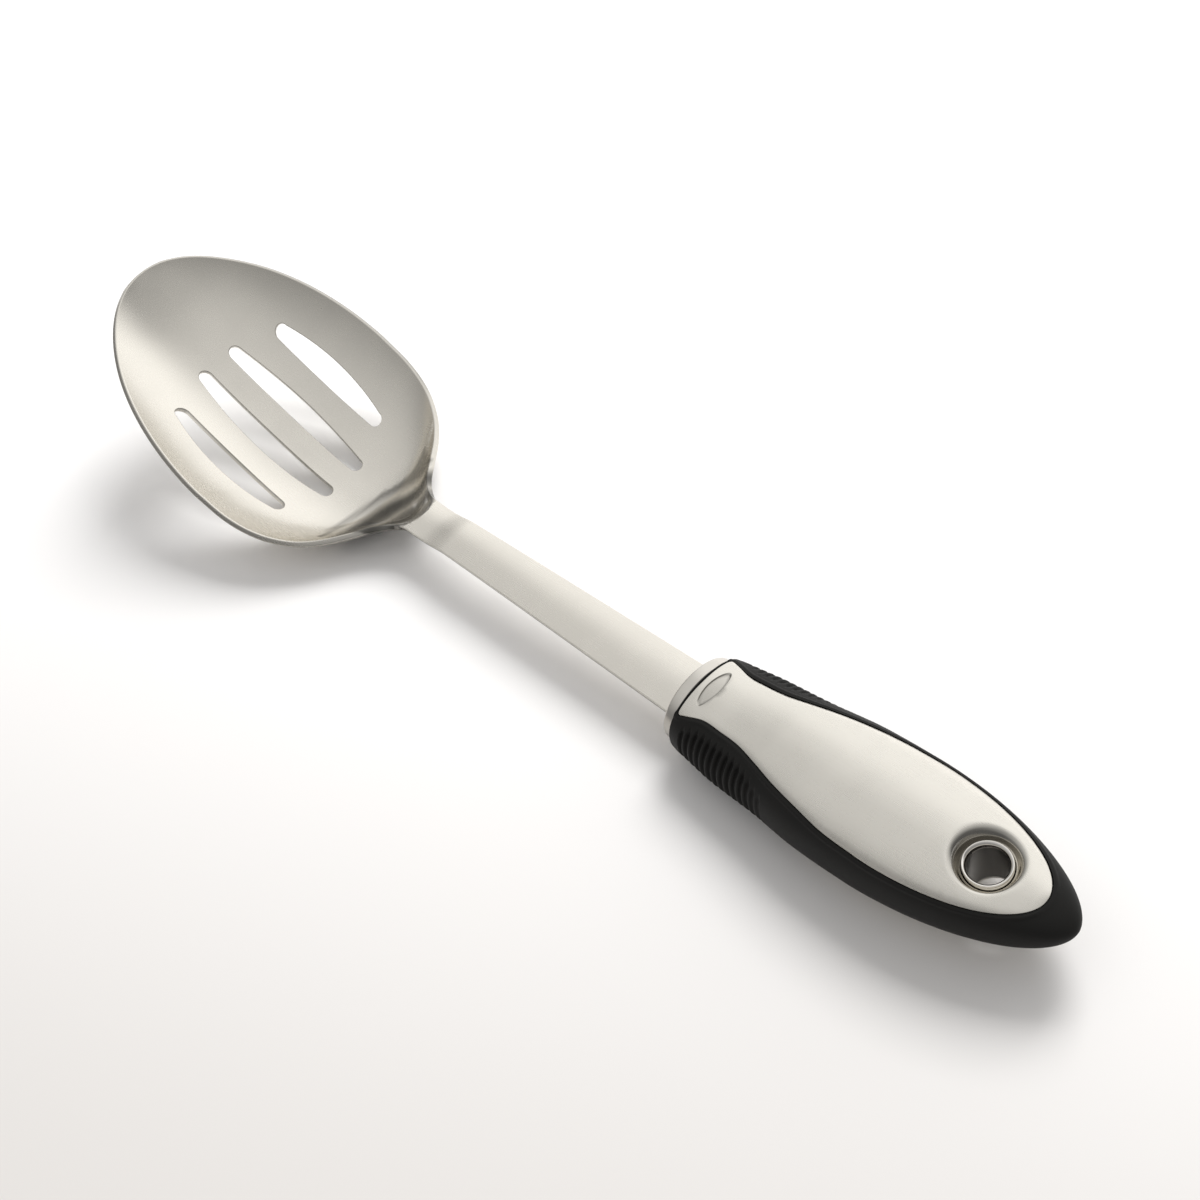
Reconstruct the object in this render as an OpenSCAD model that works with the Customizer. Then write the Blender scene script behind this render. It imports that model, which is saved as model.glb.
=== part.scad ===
// Slotted serving spoon: a pressed steel blank with a pitched, slotted bowl, held in a
// rubber-sided handle with steel cover plates and a hanging eyelet. Millimetres, lying at
// rest on z = 0, tip of the bowl towards -X, end of the handle towards +X.

/* [Bowl] */
// Length of the bowl from its tip to the crease at the neck, measured along the table
bowl_length = 98; // [85:1:115]
// Width of the bowl across its rim
bowl_width = 66; // [56:1:76]
// Depth of the bowl below its rim, measured upright
bowl_depth = 13; // [9:0.5:16]
// Height of the rim at the tip above the table
tip_height = 43.3; // [36:0.5:48]
// Thickness of the steel sheet that the bowl, neck and shaft are pressed from
sheet = 1.6; // [1.2:0.1:2]

/* [Slots] */
// Width of every slot at its ends
slot_end_width = 3.6; // [2.6:0.1:4.2]
// Length of the two inner slots
inner_slot_length = 44.9; // [38:0.5:48]
// Length of the two outer slots
outer_slot_length = 35.5; // [28:0.5:38]
// Distance from the middle of the bowl to the straight edge of an inner slot
inner_slot_offset = 3.6; // [3:0.1:4.4]
// Distance from the middle of the bowl to the straight edge of an outer slot
outer_slot_offset = 16.1; // [15:0.1:17]
// Distance from the tip to the start of the inner slots
inner_slot_start = 21.8; // [19:0.2:26]
// Distance from the tip to the start of the outer slots
outer_slot_start = 26.9; // [24:0.2:30]
// How far the outer edge of an inner slot bows out in the middle
inner_slot_bow = 1.9; // [1:0.1:2.6]
// How far the outer edge of an outer slot bows out in the middle
outer_slot_bow = 2.3; // [1:0.1:2.8]

/* [Shaft] */
// Length of the shaft from the crease at the neck to the collar
shaft_length = 98.1; // [80:1:115]
// Width of the shaft just behind the neck
shaft_front_width = 11.6; // [9:0.2:13]
// Width of the shaft where it enters the collar
shaft_back_width = 15.6; // [13:0.2:17]
// Height of the shaft's top face above the table behind the neck
shaft_front_height = 12; // [11:0.2:14]
// Height of the shaft's top face above the table at the collar
shaft_back_height = 10.8; // [10:0.2:13]
// Rise of the shaft's crowned top face in the middle
shaft_crown = 0.9; // [0:0.1:1.4]
// Width of the flat tang inside the handle
tang_width = 12; // [9:0.5:14]
// Length of the flat tang inside the handle
tang_length = 62; // [50:1:68]

/* [Collar] */
// Length of the steel collar that shows in front of the covers
collar_length = 3.2; // [3:0.2:6]
// Width of the collar
collar_width = 23.4; // [22:0.2:26]
// Thickness of the collar, top to bottom
collar_thickness = 18.6; // [16:0.2:19]
// Length of the collar's spigot inside the handle
spigot_length = 6; // [4:0.5:8]
// Step from the collar down to its spigot
spigot_step = 2.8; // [2.4:0.1:3.4]

/* [Handle] */
// Length of the handle from the back of the collar to its end
handle_length = 107.4; // [98:1:118]
// Width of the handle at its widest
handle_width = 35.6; // [33:0.2:38]
// Thickness of the handle at its thickest
handle_thickness = 22.6; // [21:0.2:24.6]
// Thickness of the steel cover plates
cover_sheet = 0.9; // [0.7:0.1:1.2]
// Width of each cover plate at its widest
cover_width = 30.4; // [27:0.2:31]
// Rubber left between the end of a cover plate and the end of the handle
tail_margin = 7.7; // [6:0.1:9]
// Thickness of the rubber lip between the collar and the top cover
lip_length = 0.5; // [0.4:0.1:0.8]
// Gap round each cover plate
cover_gap = 0.15; // [0.1:0.05:0.3]

/* [Hanging eyelet] */
// Radius of the clear hole through the eyelet
hang_hole_radius = 4.7; // [4:0.1:5]
// Wall of the eyelet's tube
eyelet_wall = 1; // [0.8:0.1:1.1]
// Distance from the middle of the hanging hole to the end of the handle
hole_from_end = 23.3; // [22:0.2:26]
// Outer radius of the dished well round the eyelet
well_radius = 8.1; // [7.6:0.1:8.6]
// Radius of the flat floor of the well
well_floor_radius = 6.5; // [6.2:0.1:6.8]
// Depth of the well's floor below the crown of the cover
well_depth = 3.8; // [3:0.1:4.2]
// Height of the eyelet's lip above the well's floor
eyelet_lip = 1.4; // [0.8:0.1:1.6]

/* [Finger fins] */
// Number of grooves in each side of the grip
groove_count = 14; // [8:1:15]
// Distance from one groove to the next
groove_pitch = 2.05; // [1.8:0.05:2.2]
// Width of one groove
groove_width = 1; // [0.6:0.1:1.2]
// Depth of one groove
groove_depth = 0.8; // [0.4:0.1:1]
// Smooth rubber left between the grooves' ends and the edge of a cover plate
groove_margin = 2.2; // [1.6:0.1:3]
// Distance from the collar to the first groove
first_groove = 4; // [3:0.5:8]

/* [Oval recess] */
// Length of the shallow oval recess, across the handle
recess_length = 11.4; // [9:0.2:13]
// Width of the shallow oval recess, along the handle
recess_width = 3.8; // [2.4:0.2:4.4]
// Depth of the shallow oval recess
recess_depth = 0.4; // [0.2:0.1:0.5]
// Distance from the collar to the middle of the recess
recess_place = 4.1; // [3.6:0.1:6]

/* [Pins] */
// Radius of the two pins that hold the tang in the handle
pin_radius = 2; // [1.5:0.1:2.5]
// Length of each pin
pin_length = 13; // [10:0.5:14]
// Distance from the collar to the front pin
front_pin_place = 18; // [14:1:24]
// Distance from the collar to the rear pin
rear_pin_place = 48; // [40:1:52]

/* [Hidden] */

// Clearance between pieces that fit inside one another
fit = 0.1;
// Degrees in one radian
radian = 180 / PI;
// Extra length of a cutting solid past the face that it cuts
overrun = 2;
// Small steps used to find the slope of a curved sheet, along it and across it
slope_step = 0.05;
across_step_share = 0.01;
// First station of the blank, just behind the very tip
nose_step = 0.12;
// Rounding of the front corners of the cover plates
cover_corner = 1.2;

// Places along the spoon, all measured from the tip
overall_length = bowl_length + shaft_length + collar_length + handle_length;
collar_start = bowl_length + shaft_length;
handle_start = collar_start + collar_length;
hole_place = overall_length - hole_from_end;
cover_start = handle_start + lip_length;
cover_end = overall_length - tail_margin;

// Where the bowl is widest and where it is deepest, as shares of its length
widest_share = 0.53;
deepest_share = 0.44;
// Roundness of the bowl's outline in front of its widest place, and of its section
outline_power = 1.9;
dish_power = 2.6;
// Rim height along the bowl: places as shares of the bowl's length, heights as shares
// of the tip's height
rim_place_shares = [0, 0.105, 0.21, 0.315, 0.42, 0.525, 0.63, 0.735, 0.81, 0.88, 0.94, 1, 1.083, 1.165];
rim_height_shares = [1, 0.879, 0.781, 0.681, 0.575, 0.467, 0.366, 0.28, 0.23, 0.217, 0.24, 0.262, 0.254];
// Half width behind the widest place: places as shares of the bowl's length, widths as
// shares of the bowl's width
back_place_shares = [0.53, 0.627, 0.711, 0.78, 0.832, 0.885, 0.923, 0.967, 1, 1.04, 1.12];
back_width_shares = [1, 0.982, 0.914, 0.794, 0.645, 0.443, 0.312, 0.212, 0.18];
// The crease at the neck: where the bowl's dish would end, how much further back the
// crease lies at its sides and in the middle, and where it starts to draw back
crease_share = 0.99;
crease_side_share = 0.015;
crease_bow_share = 0.024;
crease_start_share = 0.84;
crease_end_share = 0.96;
// Start and end of the blend into the shaft's crown
crown_start_share = 0.95;
crown_end_share = 1.03;
shaft_front = rim_place_shares[len(rim_place_shares) - 1] * bowl_length;

// Half width and half thickness of the handle in front of its rounded end, as shares of
// its length, width and thickness
side_place_shares = [0, 0.02, 0.06, 0.123, 0.258, 0.368, 0.45, 0.528];
side_width_shares = [0.725, 0.753, 0.789, 0.845, 0.897, 0.972, 0.995, 1];
thick_shares = [0.825, 0.835, 0.853, 0.87, 0.958, 1, 1, 1];
// Mid height of the handle, as shares of its length and of half its thickness
middle_place_shares = [0, 0.06, 0.123, 0.19, 0.258, 0.368, 0.478, 0.584, 0.72, 0.86, 1];
middle_shares = [0.894, 0.898, 0.903, 0.925, 0.962, 1.006, 1.05, 1.102, 1.186, 1.252, 1.34];
// Roundness of the handle's oval section, and of its end in plan and side view
section_power = 2.25;
tail_power = 1.85;
tail_place = handle_start + side_place_shares[len(side_place_shares) - 1] * handle_length;
tail_length = overall_length - tail_place;
// Half width of a cover plate, as shares of its length and width
cover_place_shares = [0, 0.035, 0.075, 0.125, 0.185, 0.25, 0.32, 0.40, 0.49, 0.60];
cover_width_shares = [0.636, 0.58, 0.52, 0.532, 0.565, 0.663, 0.78, 0.88, 0.968, 1];

// Mesh counts
across_count = 16;
front_stations = 17;
back_stations = 22;
shaft_stations = 6;
ring_count = 36;
handle_stations = 16;
tail_stations = 9;
oval_count = 36;
end_count = 8;
cover_count = 14;
patch_count = 8;
groove_steps = 12;

// Knot interval that holds x, slope at a knot, and a smooth curve through the knots
function interval(x, xs, i = 0) = (i >= len(xs) - 2 || x < xs[i + 1]) ? i : interval(x, xs, i + 1);
function slope(xs, vs, i) = i == 0 ? (vs[1] - vs[0]) / (xs[1] - xs[0])
    : i == len(xs) - 1 ? (vs[i] - vs[i - 1]) / (xs[i] - xs[i - 1])
    : (vs[i + 1] - vs[i - 1]) / (xs[i + 1] - xs[i - 1]);
function smooth(x, xs, vs) =
    let (i = interval(x, xs))
    let (h = xs[i + 1] - xs[i])
    let (t = min(1, max(0, (x - xs[i]) / h)))
    let (a = slope(xs, vs, i) * h)
    let (b = slope(xs, vs, i + 1) * h)
    vs[i] * (2 * t * t * t - 3 * t * t + 1) + a * (t * t * t - 2 * t * t + t)
        + vs[i + 1] * (3 * t * t - 2 * t * t * t) + b * (t * t * t - t * t);
function ramp(t) = min(1, max(0, t));
function ease(t) = ramp(t) * ramp(t) * (3 - 2 * ramp(t));

// Share of the way along the shaft, from the neck to the collar
function shaft_share(s) = ramp((s - shaft_front) / (collar_start - shaft_front));

// Height of the blank's edge above the table
rim_heights = concat([for (share = rim_height_shares) share * tip_height], [shaft_front_height]);
function edge_height(s) = s < shaft_front
    ? smooth(s / bowl_length, rim_place_shares, rim_heights)
    : shaft_front_height + (shaft_back_height - shaft_front_height) * shaft_share(s);

// Half width of the blank
back_widths = concat([for (share = back_width_shares) share * bowl_width / 2],
    [shaft_front_width / 2, shaft_front_width / 2]);
function blank_half(s) =
    let (widest = widest_share * bowl_length)
    s < widest ? bowl_width / 2 * sqrt(1 - pow((widest - s) / widest, outline_power))
    : s < shaft_front ? smooth(s / bowl_length, back_place_shares, back_widths)
    : (shaft_front_width + (shaft_back_width - shaft_front_width) * shaft_share(s)) / 2;

// Depth of the bowl's dish, which ends at the crease, and crown of the shaft
function crease_shift(s, q) = (crease_side_share + crease_bow_share * ramp(1 - q * q)) * bowl_length
    * ease((s / bowl_length - crease_start_share) / (crease_end_share - crease_start_share));
function dish(s, q) =
    let (deepest = deepest_share * bowl_length)
    let (reach = s < deepest ? deepest : crease_share * bowl_length + crease_shift(s, q) - deepest)
    bowl_depth * (1 - pow(ramp(abs(s - deepest) / reach), dish_power));
function crown(s) = shaft_crown
    * ease((s / bowl_length - crown_start_share) / (crown_end_share - crown_start_share));

// Upper face of the blank: s from the tip, q from -1 to 1 across
function blank_point(s, q) = [
    s,
    q * blank_half(s),
    edge_height(s) - dish(s, q) * (1 - pow(abs(q), dish_power)) + crown(s) * (1 - q * q)];
function unit(v) = v / norm(v);
function blank_under(s, q) = blank_point(s, q) - sheet * blank_normal(s, q);
function blank_normal(s, q) =
    let (along = blank_point(s + slope_step, q) - blank_point(max(nose_step / 2, s - slope_step), q))
    unit(cross(along, blank_point(s, q + across_step_share) - blank_point(s, q - across_step_share)));

// A closed solid between an upper and a lower grid of points
module sheet_solid(upper, lower) {
    rows = len(upper);
    columns = len(upper[0]);
    count = rows * columns;
    points = concat([for (row = upper) each row], [for (row = lower) each row]);
    cells = [for (i = [0:rows - 2], j = [0:columns - 2]) i * columns + j];
    top = [for (c = cells) each [[c, c + 1, c + columns], [c + 1, c + columns + 1, c + columns]]];
    bottom = [for (face = top) [face[0] + count, face[2] + count, face[1] + count]];
    border = concat(
        [for (j = [0:columns - 2]) [j, j + 1]],
        [for (i = [0:rows - 2]) [(i + 1) * columns - 1, (i + 2) * columns - 1]],
        [for (j = [columns - 1:-1:1]) [(rows - 1) * columns + j, (rows - 1) * columns + j - 1]],
        [for (i = [rows - 1:-1:1]) [i * columns, (i - 1) * columns]]);
    walls = [for (e = border) each [[e[0], e[0] + count, e[1]], [e[1], e[0] + count, e[1] + count]]];
    polyhedron(points, concat(top, bottom, walls), convexity = 8);
}

// A closed solid through a row of rings
module loft(rings) {
    n = len(rings[0]);
    m = len(rings);
    points = [for (ring = rings) each ring];
    sides = [for (i = [0:m - 2], j = [0:n - 1])
        let (k = (j + 1) % n)
        each [[i * n + j, (i + 1) * n + j, i * n + k], [i * n + k, (i + 1) * n + j, (i + 1) * n + k]]];
    first = [for (j = [0:n - 1]) j];
    last = [for (j = [n - 1:-1:0]) (m - 1) * n + j];
    polyhedron(points, concat([first], sides, [last]), convexity = 8);
}

// Outline of a slot: a straight inner edge, a bowed outer edge and round ends
function slot_outline(offset, start, length, bow) =
    let (r = slot_end_width / 2)
    let (a = start + r)
    let (b = start + length - r)
    concat(
        [for (i = [0:end_count]) let (w = -90 - 180 * i / end_count)
            [a + r * cos(w), offset + r + r * sin(w)]],
        [for (i = [1:end_count - 1]) let (t = 2 * i / end_count - 1)
            [(a + b) / 2 + t * (b - a) / 2, offset + slot_end_width + bow * (1 - t * t)]],
        [for (i = [0:end_count]) let (w = 90 - 180 * i / end_count)
            [b + r * cos(w), offset + r + r * sin(w)]]);

module slot_cut(offset, start, length, bow) {
    linear_extrude(height = tip_height)
        polygon(slot_outline(offset, start, length, bow));
}

module slots() {
    for (side = [0, 1])
        mirror([0, side, 0]) {
            slot_cut(inner_slot_offset, inner_slot_start, inner_slot_length, inner_slot_bow);
            slot_cut(outer_slot_offset, outer_slot_start, outer_slot_length, outer_slot_bow);
        }
}

// Stations along the blank, closer together where its outline turns
widest_place = widest_share * bowl_length;
blank_stations = concat(
    [for (i = [0:front_stations - 1]) max(nose_step, widest_place * (1 - cos(90 * i / front_stations)))],
    [for (i = [0:back_stations - 1]) widest_place + (shaft_front - widest_place) * i / back_stations],
    [for (i = [0:shaft_stations]) shaft_front + (handle_start - shaft_front) * i / shaft_stations]);
across = [for (j = [-across_count / 2:across_count / 2]) sin(180 * j / across_count)];

module tang() {
    top = shaft_back_height;
    back = handle_start + tang_length;
    difference() {
        translate([handle_start - overrun, -tang_width / 2, top - sheet])
            cube([back - handle_start + overrun, tang_width, sheet]);
        for (place = [front_pin_place, rear_pin_place])
            translate([handle_start + place, 0, top - sheet - overrun])
                cylinder(r = pin_radius + fit, h = sheet + 2 * overrun, $fn = 48);
    }
}

// Both faces of the blank, its lowest place and the middle of the whole spoon
blank_upper = [for (s = blank_stations) [for (q = across) blank_point(s, q)]];
blank_lower = [for (s = blank_stations) [for (q = across) blank_under(s, q)]];
lowest_height = min([for (row = blank_lower) each [for (p = row) p[2]]]);
front_reach = min([for (row = blank_lower) each [for (p = row) p[0]]]);
middle_place = (front_reach + overall_length) / 2;

// Moves a piece from its place along the spoon into the shared frame
module placed() {
    translate([-middle_place, 0, -lowest_height])
        children();
}

// Bowl, neck, shaft and tang in one pressed sheet
module spoon_blank() {
    color("silver")
        placed()
            union() {
                difference() {
                    sheet_solid(blank_upper, blank_lower);
                    slots();
                }
                tang();
            }
}

// Half width, half thickness and mid height of the handle
function handle_share(s) = (s - handle_start) / handle_length;
function tail_drop(s) = pow(1 - pow(ramp((s - tail_place) / tail_length), tail_power), 1 / tail_power);
function handle_half(s) = handle_width / 2 * (s < tail_place
    ? smooth(handle_share(s), side_place_shares, side_width_shares)
    : tail_drop(s));
function handle_thick(s) = handle_thickness / 2 * (s < tail_place
    ? smooth(handle_share(s), side_place_shares, thick_shares)
    : tail_drop(s));
function handle_middle(s) = handle_thickness / 2
    * smooth(handle_share(s), middle_place_shares, middle_shares);

// A place on the handle's oval section, deeper than its skin, and a ring of such places
function power_arc(c) = sign(c) * pow(abs(c), 2 / section_power);
function section_place(s, w, depth) = [(handle_half(s) - depth) * power_arc(cos(w)),
    handle_middle(s) + (handle_thick(s) - depth) * power_arc(sin(w))];
function handle_ring(s) = [for (j = [0:ring_count - 1])
    let (place = section_place(s, 360 * j / ring_count, 0))
    [s, place[0], place[1]]];
pod_stations = concat(
    [for (i = [0:handle_stations - 1]) handle_start + (tail_place - handle_start) * i / handle_stations],
    [for (i = [0:tail_stations]) tail_place + tail_length * sin(88 * i / tail_stations)]);

module pod() {
    loft([for (s = pod_stations) handle_ring(s)]);
}

// Height of the handle's top (side 1) or underside (side -1) at s and y, less a depth
function skin(s, y, side, depth) =
    let (a = ramp(abs(y) / handle_half(s)))
    handle_middle(s) + side * (handle_thick(s) * pow(1 - pow(a, section_power), 1 / section_power) - depth);
function skin_slope(s, side) = (skin(s + slope_step, 0, side, 0) - skin(s - slope_step, 0, side, 0))
    / (2 * slope_step);

// Half width of a cover plate
last_cover_share = cover_place_shares[len(cover_place_shares) - 1];
cover_length = cover_end - cover_start;
function cover_share(s) = (s - cover_start) / cover_length;
function corner_cut(s) = cover_corner * (1 - sqrt(1 - pow(1 - ramp((s - cover_start) / cover_corner), 2)));
function cover_half(s) = cover_share(s) < last_cover_share
    ? smooth(cover_share(s), cover_place_shares, cover_width_shares) * cover_width / 2 - corner_cut(s)
    : cover_width / 2 * sqrt(1 - pow(ramp((cover_share(s) - last_cover_share) / (1 - last_cover_share)), 2));
cover_stations = concat(
    [for (i = [0:end_count / 2]) cover_start + cover_corner * (1 - cos(90 * i / (end_count / 2)))],
    [for (i = [1:handle_stations - 1]) cover_start + cover_length * last_cover_share * i / handle_stations],
    [for (i = [0:tail_stations])
        cover_end - cover_length * (1 - last_cover_share) * (1 - sin(87 * i / tail_stations))]);

// Outline of the opening in the grip for a cover plate
function outline_side(gap, side) = [for (s = cover_stations)
    [s + gap * (2 * cover_share(s) - 1), side * (cover_half(s) + gap)]];
function cover_outline(gap) = let (side = outline_side(gap, 1))
    concat(outline_side(gap, -1), [[cover_end + gap, 0]], [for (i = [len(side) - 1:-1:0]) side[i]]);
// A grid over the cover's outline, at a depth below the handle's top or underside
function cover_grid(side, depth) = [for (s = cover_stations)
    [for (j = [-cover_count / 2:cover_count / 2])
        let (y = 2 * cover_half(s) * j / cover_count)
        [s, y, skin(s, y, side, depth)]]];

well_width = well_radius + cover_sheet;

// Sets a shape at a depth below the skin at the hole, facing out and along the skin's slope
module at_hole(side, depth) {
    k = skin_slope(hole_place, side);
    translate([hole_place, 0, skin(hole_place, 0, side, depth)])
        multmatrix([[1, 0, 0, 0], [0, 1, 0, 0], [k, 0, 1, 0]])
            mirror([0, 0, side > 0 ? 0 : 1])
                children();
}

// The void of the dished well, from its floor up past the cover
module well_void(side) {
    at_hole(side, 0)
        rotate_extrude($fn = 96)
            polygon([
                [0, -well_depth],
                [well_floor_radius, -well_depth],
                [well_radius, 0],
                [well_radius, overrun],
                [0, overrun]]);
}

// A rectangular grid on the handle's skin round a place on the middle line
function patch_grid(place, length, width, side, depth) = [for (i = [-patch_count / 2:patch_count / 2])
    [for (j = [-patch_count / 2:patch_count / 2])
        let (s = place + length * i / patch_count)
        let (y = width * j / patch_count)
        [s, y, skin(s, y, side, depth)]]];
function flat_grid(grid, z, k) = [for (row = grid) [for (p = row)
    [p[0], p[1], z + k * (p[0] - hole_place)]]];

// A solid between two grids, whichever side of the handle it is on
module shell_solid(outer, inner, side) {
    if (side > 0) {
        sheet_solid(outer, inner);
    } else {
        sheet_solid(inner, outer);
    }
}

// A round block under the well, with the handle's own skin as its outer face
module well_block(side) {
    outer = patch_grid(hole_place, 2 * (well_width + fit), 2 * (well_width + fit), side, 0);
    bottom = skin(hole_place, 0, side, well_depth + cover_sheet);
    inner = flat_grid(outer, bottom, skin_slope(hole_place, side));
    intersection() {
        shell_solid(outer, inner, side);
        translate([hole_place, 0, -overrun])
            cylinder(r = well_width, h = 2 * handle_thickness, $fn = 96);
    }
}

// The bore through the handle that the eyelet's tube stands in
module tube_bore() {
    translate([hole_place, 0, -overrun])
        cylinder(r = hang_hole_radius + eyelet_wall + fit, h = 2 * handle_thickness, $fn = 96);
}

// A steel cover plate: side 1 is the top one, -1 the bottom one
module cover_plate(side) {
    difference() {
        union() {
            shell_solid(cover_grid(side, 0), cover_grid(side, cover_sheet), side);
            well_block(side);
        }
        well_void(side);
        tube_bore();
    }
}

// The shallow oval recess, following the crown of the cover
module recess_void() {
    middle = handle_start + recess_place;
    oval = [for (i = [0:oval_count - 1])
        let (w = 360 * i / oval_count)
        [middle + (recess_width / 2 - fit) * cos(w), (recess_length / 2 - fit) * sin(w)]];
    intersection() {
        shell_solid(patch_grid(middle, recess_width, recess_length, 1, -overrun),
            patch_grid(middle, recess_width, recess_length, 1, recess_depth), 1);
        linear_extrude(height = 2 * handle_thickness)
            polygon(oval);
    }
}

module top_cover() {
    color("gainsboro")
        placed()
            difference() {
                cover_plate(1);
                recess_void();
            }
}

module bottom_cover() {
    color("gainsboro")
        placed()
            cover_plate(-1);
}

// An upright oval disc across the handle, at the front
module oval_disc(place, length, width, thickness) {
    oval = [for (i = [0:oval_count * 2 - 1])
        let (w = 180 * i / oval_count)
        [width / 2 * cos(w), handle_middle(handle_start) + thickness / 2 * sin(w)]];
    translate([place, 0, 0])
        rotate([90, 0, 90])
            linear_extrude(height = length)
                polygon(oval);
}

// The slot that the shaft and tang pass through
module shaft_slot(gap) {
    translate([collar_start - overrun, -shaft_back_width / 2 - gap,
            shaft_back_height - sheet - gap])
        cube([collar_length + spigot_length + 2 * overrun, shaft_back_width + 2 * gap,
            sheet + shaft_crown + 2 * gap]);
}

// The oval room for the collar's spigot
module spigot_room(gap) {
    oval_disc(handle_start - overrun, spigot_length + overrun + gap,
        collar_width - 2 * spigot_step + 2 * gap, collar_thickness - 2 * spigot_step + 2 * gap);
}

module collar() {
    color("silver")
        placed()
            difference() {
                union() {
                    oval_disc(collar_start, collar_length - fit, collar_width, collar_thickness);
                    spigot_room(0);
                }
                shaft_slot(fit);
            }
}

module pin_rod(place, gap) {
    length = pin_length + 2 * gap;
    translate([handle_start + place, 0, handle_middle(handle_start + place) - length / 2])
        cylinder(r = pin_radius + gap, h = length, $fn = 48);
}

// Pocket in the core for the bottom of the well
module well_pocket(side) {
    at_hole(side, well_depth + cover_sheet + fit)
        cylinder(r = well_width + fit, h = well_depth + overrun, $fn = 96);
}

// Rigid core between the two cover plates, slotted for the tang
module handle_core() {
    color([0.25, 0.25, 0.25])
        placed()
            difference() {
                sheet_solid(cover_grid(1, cover_sheet + fit), cover_grid(-1, cover_sheet + fit));
                spigot_room(fit);
                translate([handle_start, -tang_width / 2 - fit, shaft_back_height - sheet - fit])
                    cube([tang_length + fit, tang_width + 2 * fit, sheet + 2 * fit]);
                for (place = [front_pin_place, rear_pin_place])
                    pin_rod(place, fit);
                for (side = [1, -1])
                    well_pocket(side);
                tube_bore();
            }
}

// Section angle at which a groove ends, short of the cover plate's edge
function groove_end(s) =
    acos(pow(cover_half(s) / handle_half(s), section_power / 2)) - groove_margin / handle_thick(s) * radian;

// One upright finger groove round each side of the grip, running out at both ends
module groove(i) {
    s = handle_start + first_groove + i * groove_pitch;
    turns = [for (j = [0:groove_steps]) groove_end(s) * (2 * j / groove_steps - 1)];
    bed = [for (w = turns) section_place(s, w, groove_depth * (1 - 2 * pow(w / groove_end(s), 6)))];
    rim = [for (j = [groove_steps:-1:0]) section_place(s, turns[j], -overrun)];
    for (side = [0, 1])
        mirror([0, side, 0])
            translate([s - groove_width / 2, 0, 0])
                rotate([90, 0, 90])
                    linear_extrude(height = groove_width)
                        polygon(concat(bed, rim));
}

// Soft rubber sleeve: both sides, the end of the handle and the thin lip at the collar
module soft_grip() {
    color([0.1, 0.1, 0.1])
        placed()
            difference() {
                pod();
                spigot_room(fit);
                translate([0, 0, -overrun])
                    linear_extrude(height = 2 * handle_thickness)
                        polygon(cover_outline(cover_gap));
                for (i = [0:groove_count - 1])
                    groove(i);
            }
}

// Polished tube through the handle, with a rounded lip at each end
module hang_eyelet() {
    top = skin(hole_place, 0, 1, well_depth - eyelet_lip);
    bottom = skin(hole_place, 0, -1, well_depth - eyelet_lip);
    round = eyelet_wall / 2;
    bead = hang_hole_radius + round;
    color("white")
        placed()
            translate([hole_place, 0, 0])
            difference() {
                union() {
                    translate([0, 0, bottom + round])
                        cylinder(r = hang_hole_radius + eyelet_wall, h = top - bottom - 2 * round, $fn = 96);
                    for (z = [bottom + round, top - round])
                        translate([0, 0, z])
                            rotate_extrude($fn = 96)
                                translate([bead, 0])
                                    circle(r = round, $fn = 32);
                }
                translate([0, 0, bottom - overrun])
                    cylinder(r = hang_hole_radius, h = top - bottom + 2 * overrun, $fn = 96);
            }
}

module front_pin() {
    color("dimgray")
        placed()
            pin_rod(front_pin_place, 0);
}

module rear_pin() {
    color("dimgray")
        placed()
            pin_rod(rear_pin_place, 0);
}

spoon_blank();
collar();
handle_core();
soft_grip();
top_cover();
bottom_cover();
hang_eyelet();
front_pin();
rear_pin();
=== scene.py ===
"""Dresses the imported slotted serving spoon, and sets its floor, light and camera."""

import logging
import math
from dataclasses import dataclass, field
from enum import Enum
from typing import Callable, Sequence

import bmesh
import bpy
import numpy as np
from mathutils import Matrix, Vector
from mathutils.geometry import delaunay_2d_cdt
from mathutils.kdtree import KDTree


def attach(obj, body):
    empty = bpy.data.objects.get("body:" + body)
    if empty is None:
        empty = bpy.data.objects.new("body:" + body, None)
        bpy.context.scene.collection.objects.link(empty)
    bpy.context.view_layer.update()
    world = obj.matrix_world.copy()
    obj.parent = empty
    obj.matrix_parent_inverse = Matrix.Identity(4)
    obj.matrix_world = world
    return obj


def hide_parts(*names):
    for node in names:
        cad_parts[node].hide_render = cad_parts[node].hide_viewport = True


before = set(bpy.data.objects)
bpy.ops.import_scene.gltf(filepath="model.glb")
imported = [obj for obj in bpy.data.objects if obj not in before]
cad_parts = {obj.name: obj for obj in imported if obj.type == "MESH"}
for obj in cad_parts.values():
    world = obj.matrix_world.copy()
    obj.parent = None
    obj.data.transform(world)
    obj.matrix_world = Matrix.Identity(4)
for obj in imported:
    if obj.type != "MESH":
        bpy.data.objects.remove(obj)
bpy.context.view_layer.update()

LOG = logging.getLogger("spoon")
MM = 0.001
Height = Callable[[np.ndarray, np.ndarray], np.ndarray]
Loop = list[tuple[float, float]]
Span = tuple[float, float]
Triple = tuple[float, float, float]
TINY = 1e-9


class Side(Enum):
    """Which face of the handle a piece lies on."""

    TOP = 1
    UNDER = -1


def ramp(t: np.ndarray) -> np.ndarray:
    """Returns t held between 0 and 1."""
    return np.clip(t, 0.0, 1.0)


def ease(t: np.ndarray) -> np.ndarray:
    """Returns a smooth step from 0 to 1 as t goes from 0 to 1."""
    t = ramp(t)
    return t * t * (3 - 2 * t)


def slide(x: np.ndarray, low: float, high: float) -> np.ndarray:
    """Returns a straight step from 0 to 1 as x goes from low to high."""
    return ramp((x - low) / (high - low))


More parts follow.
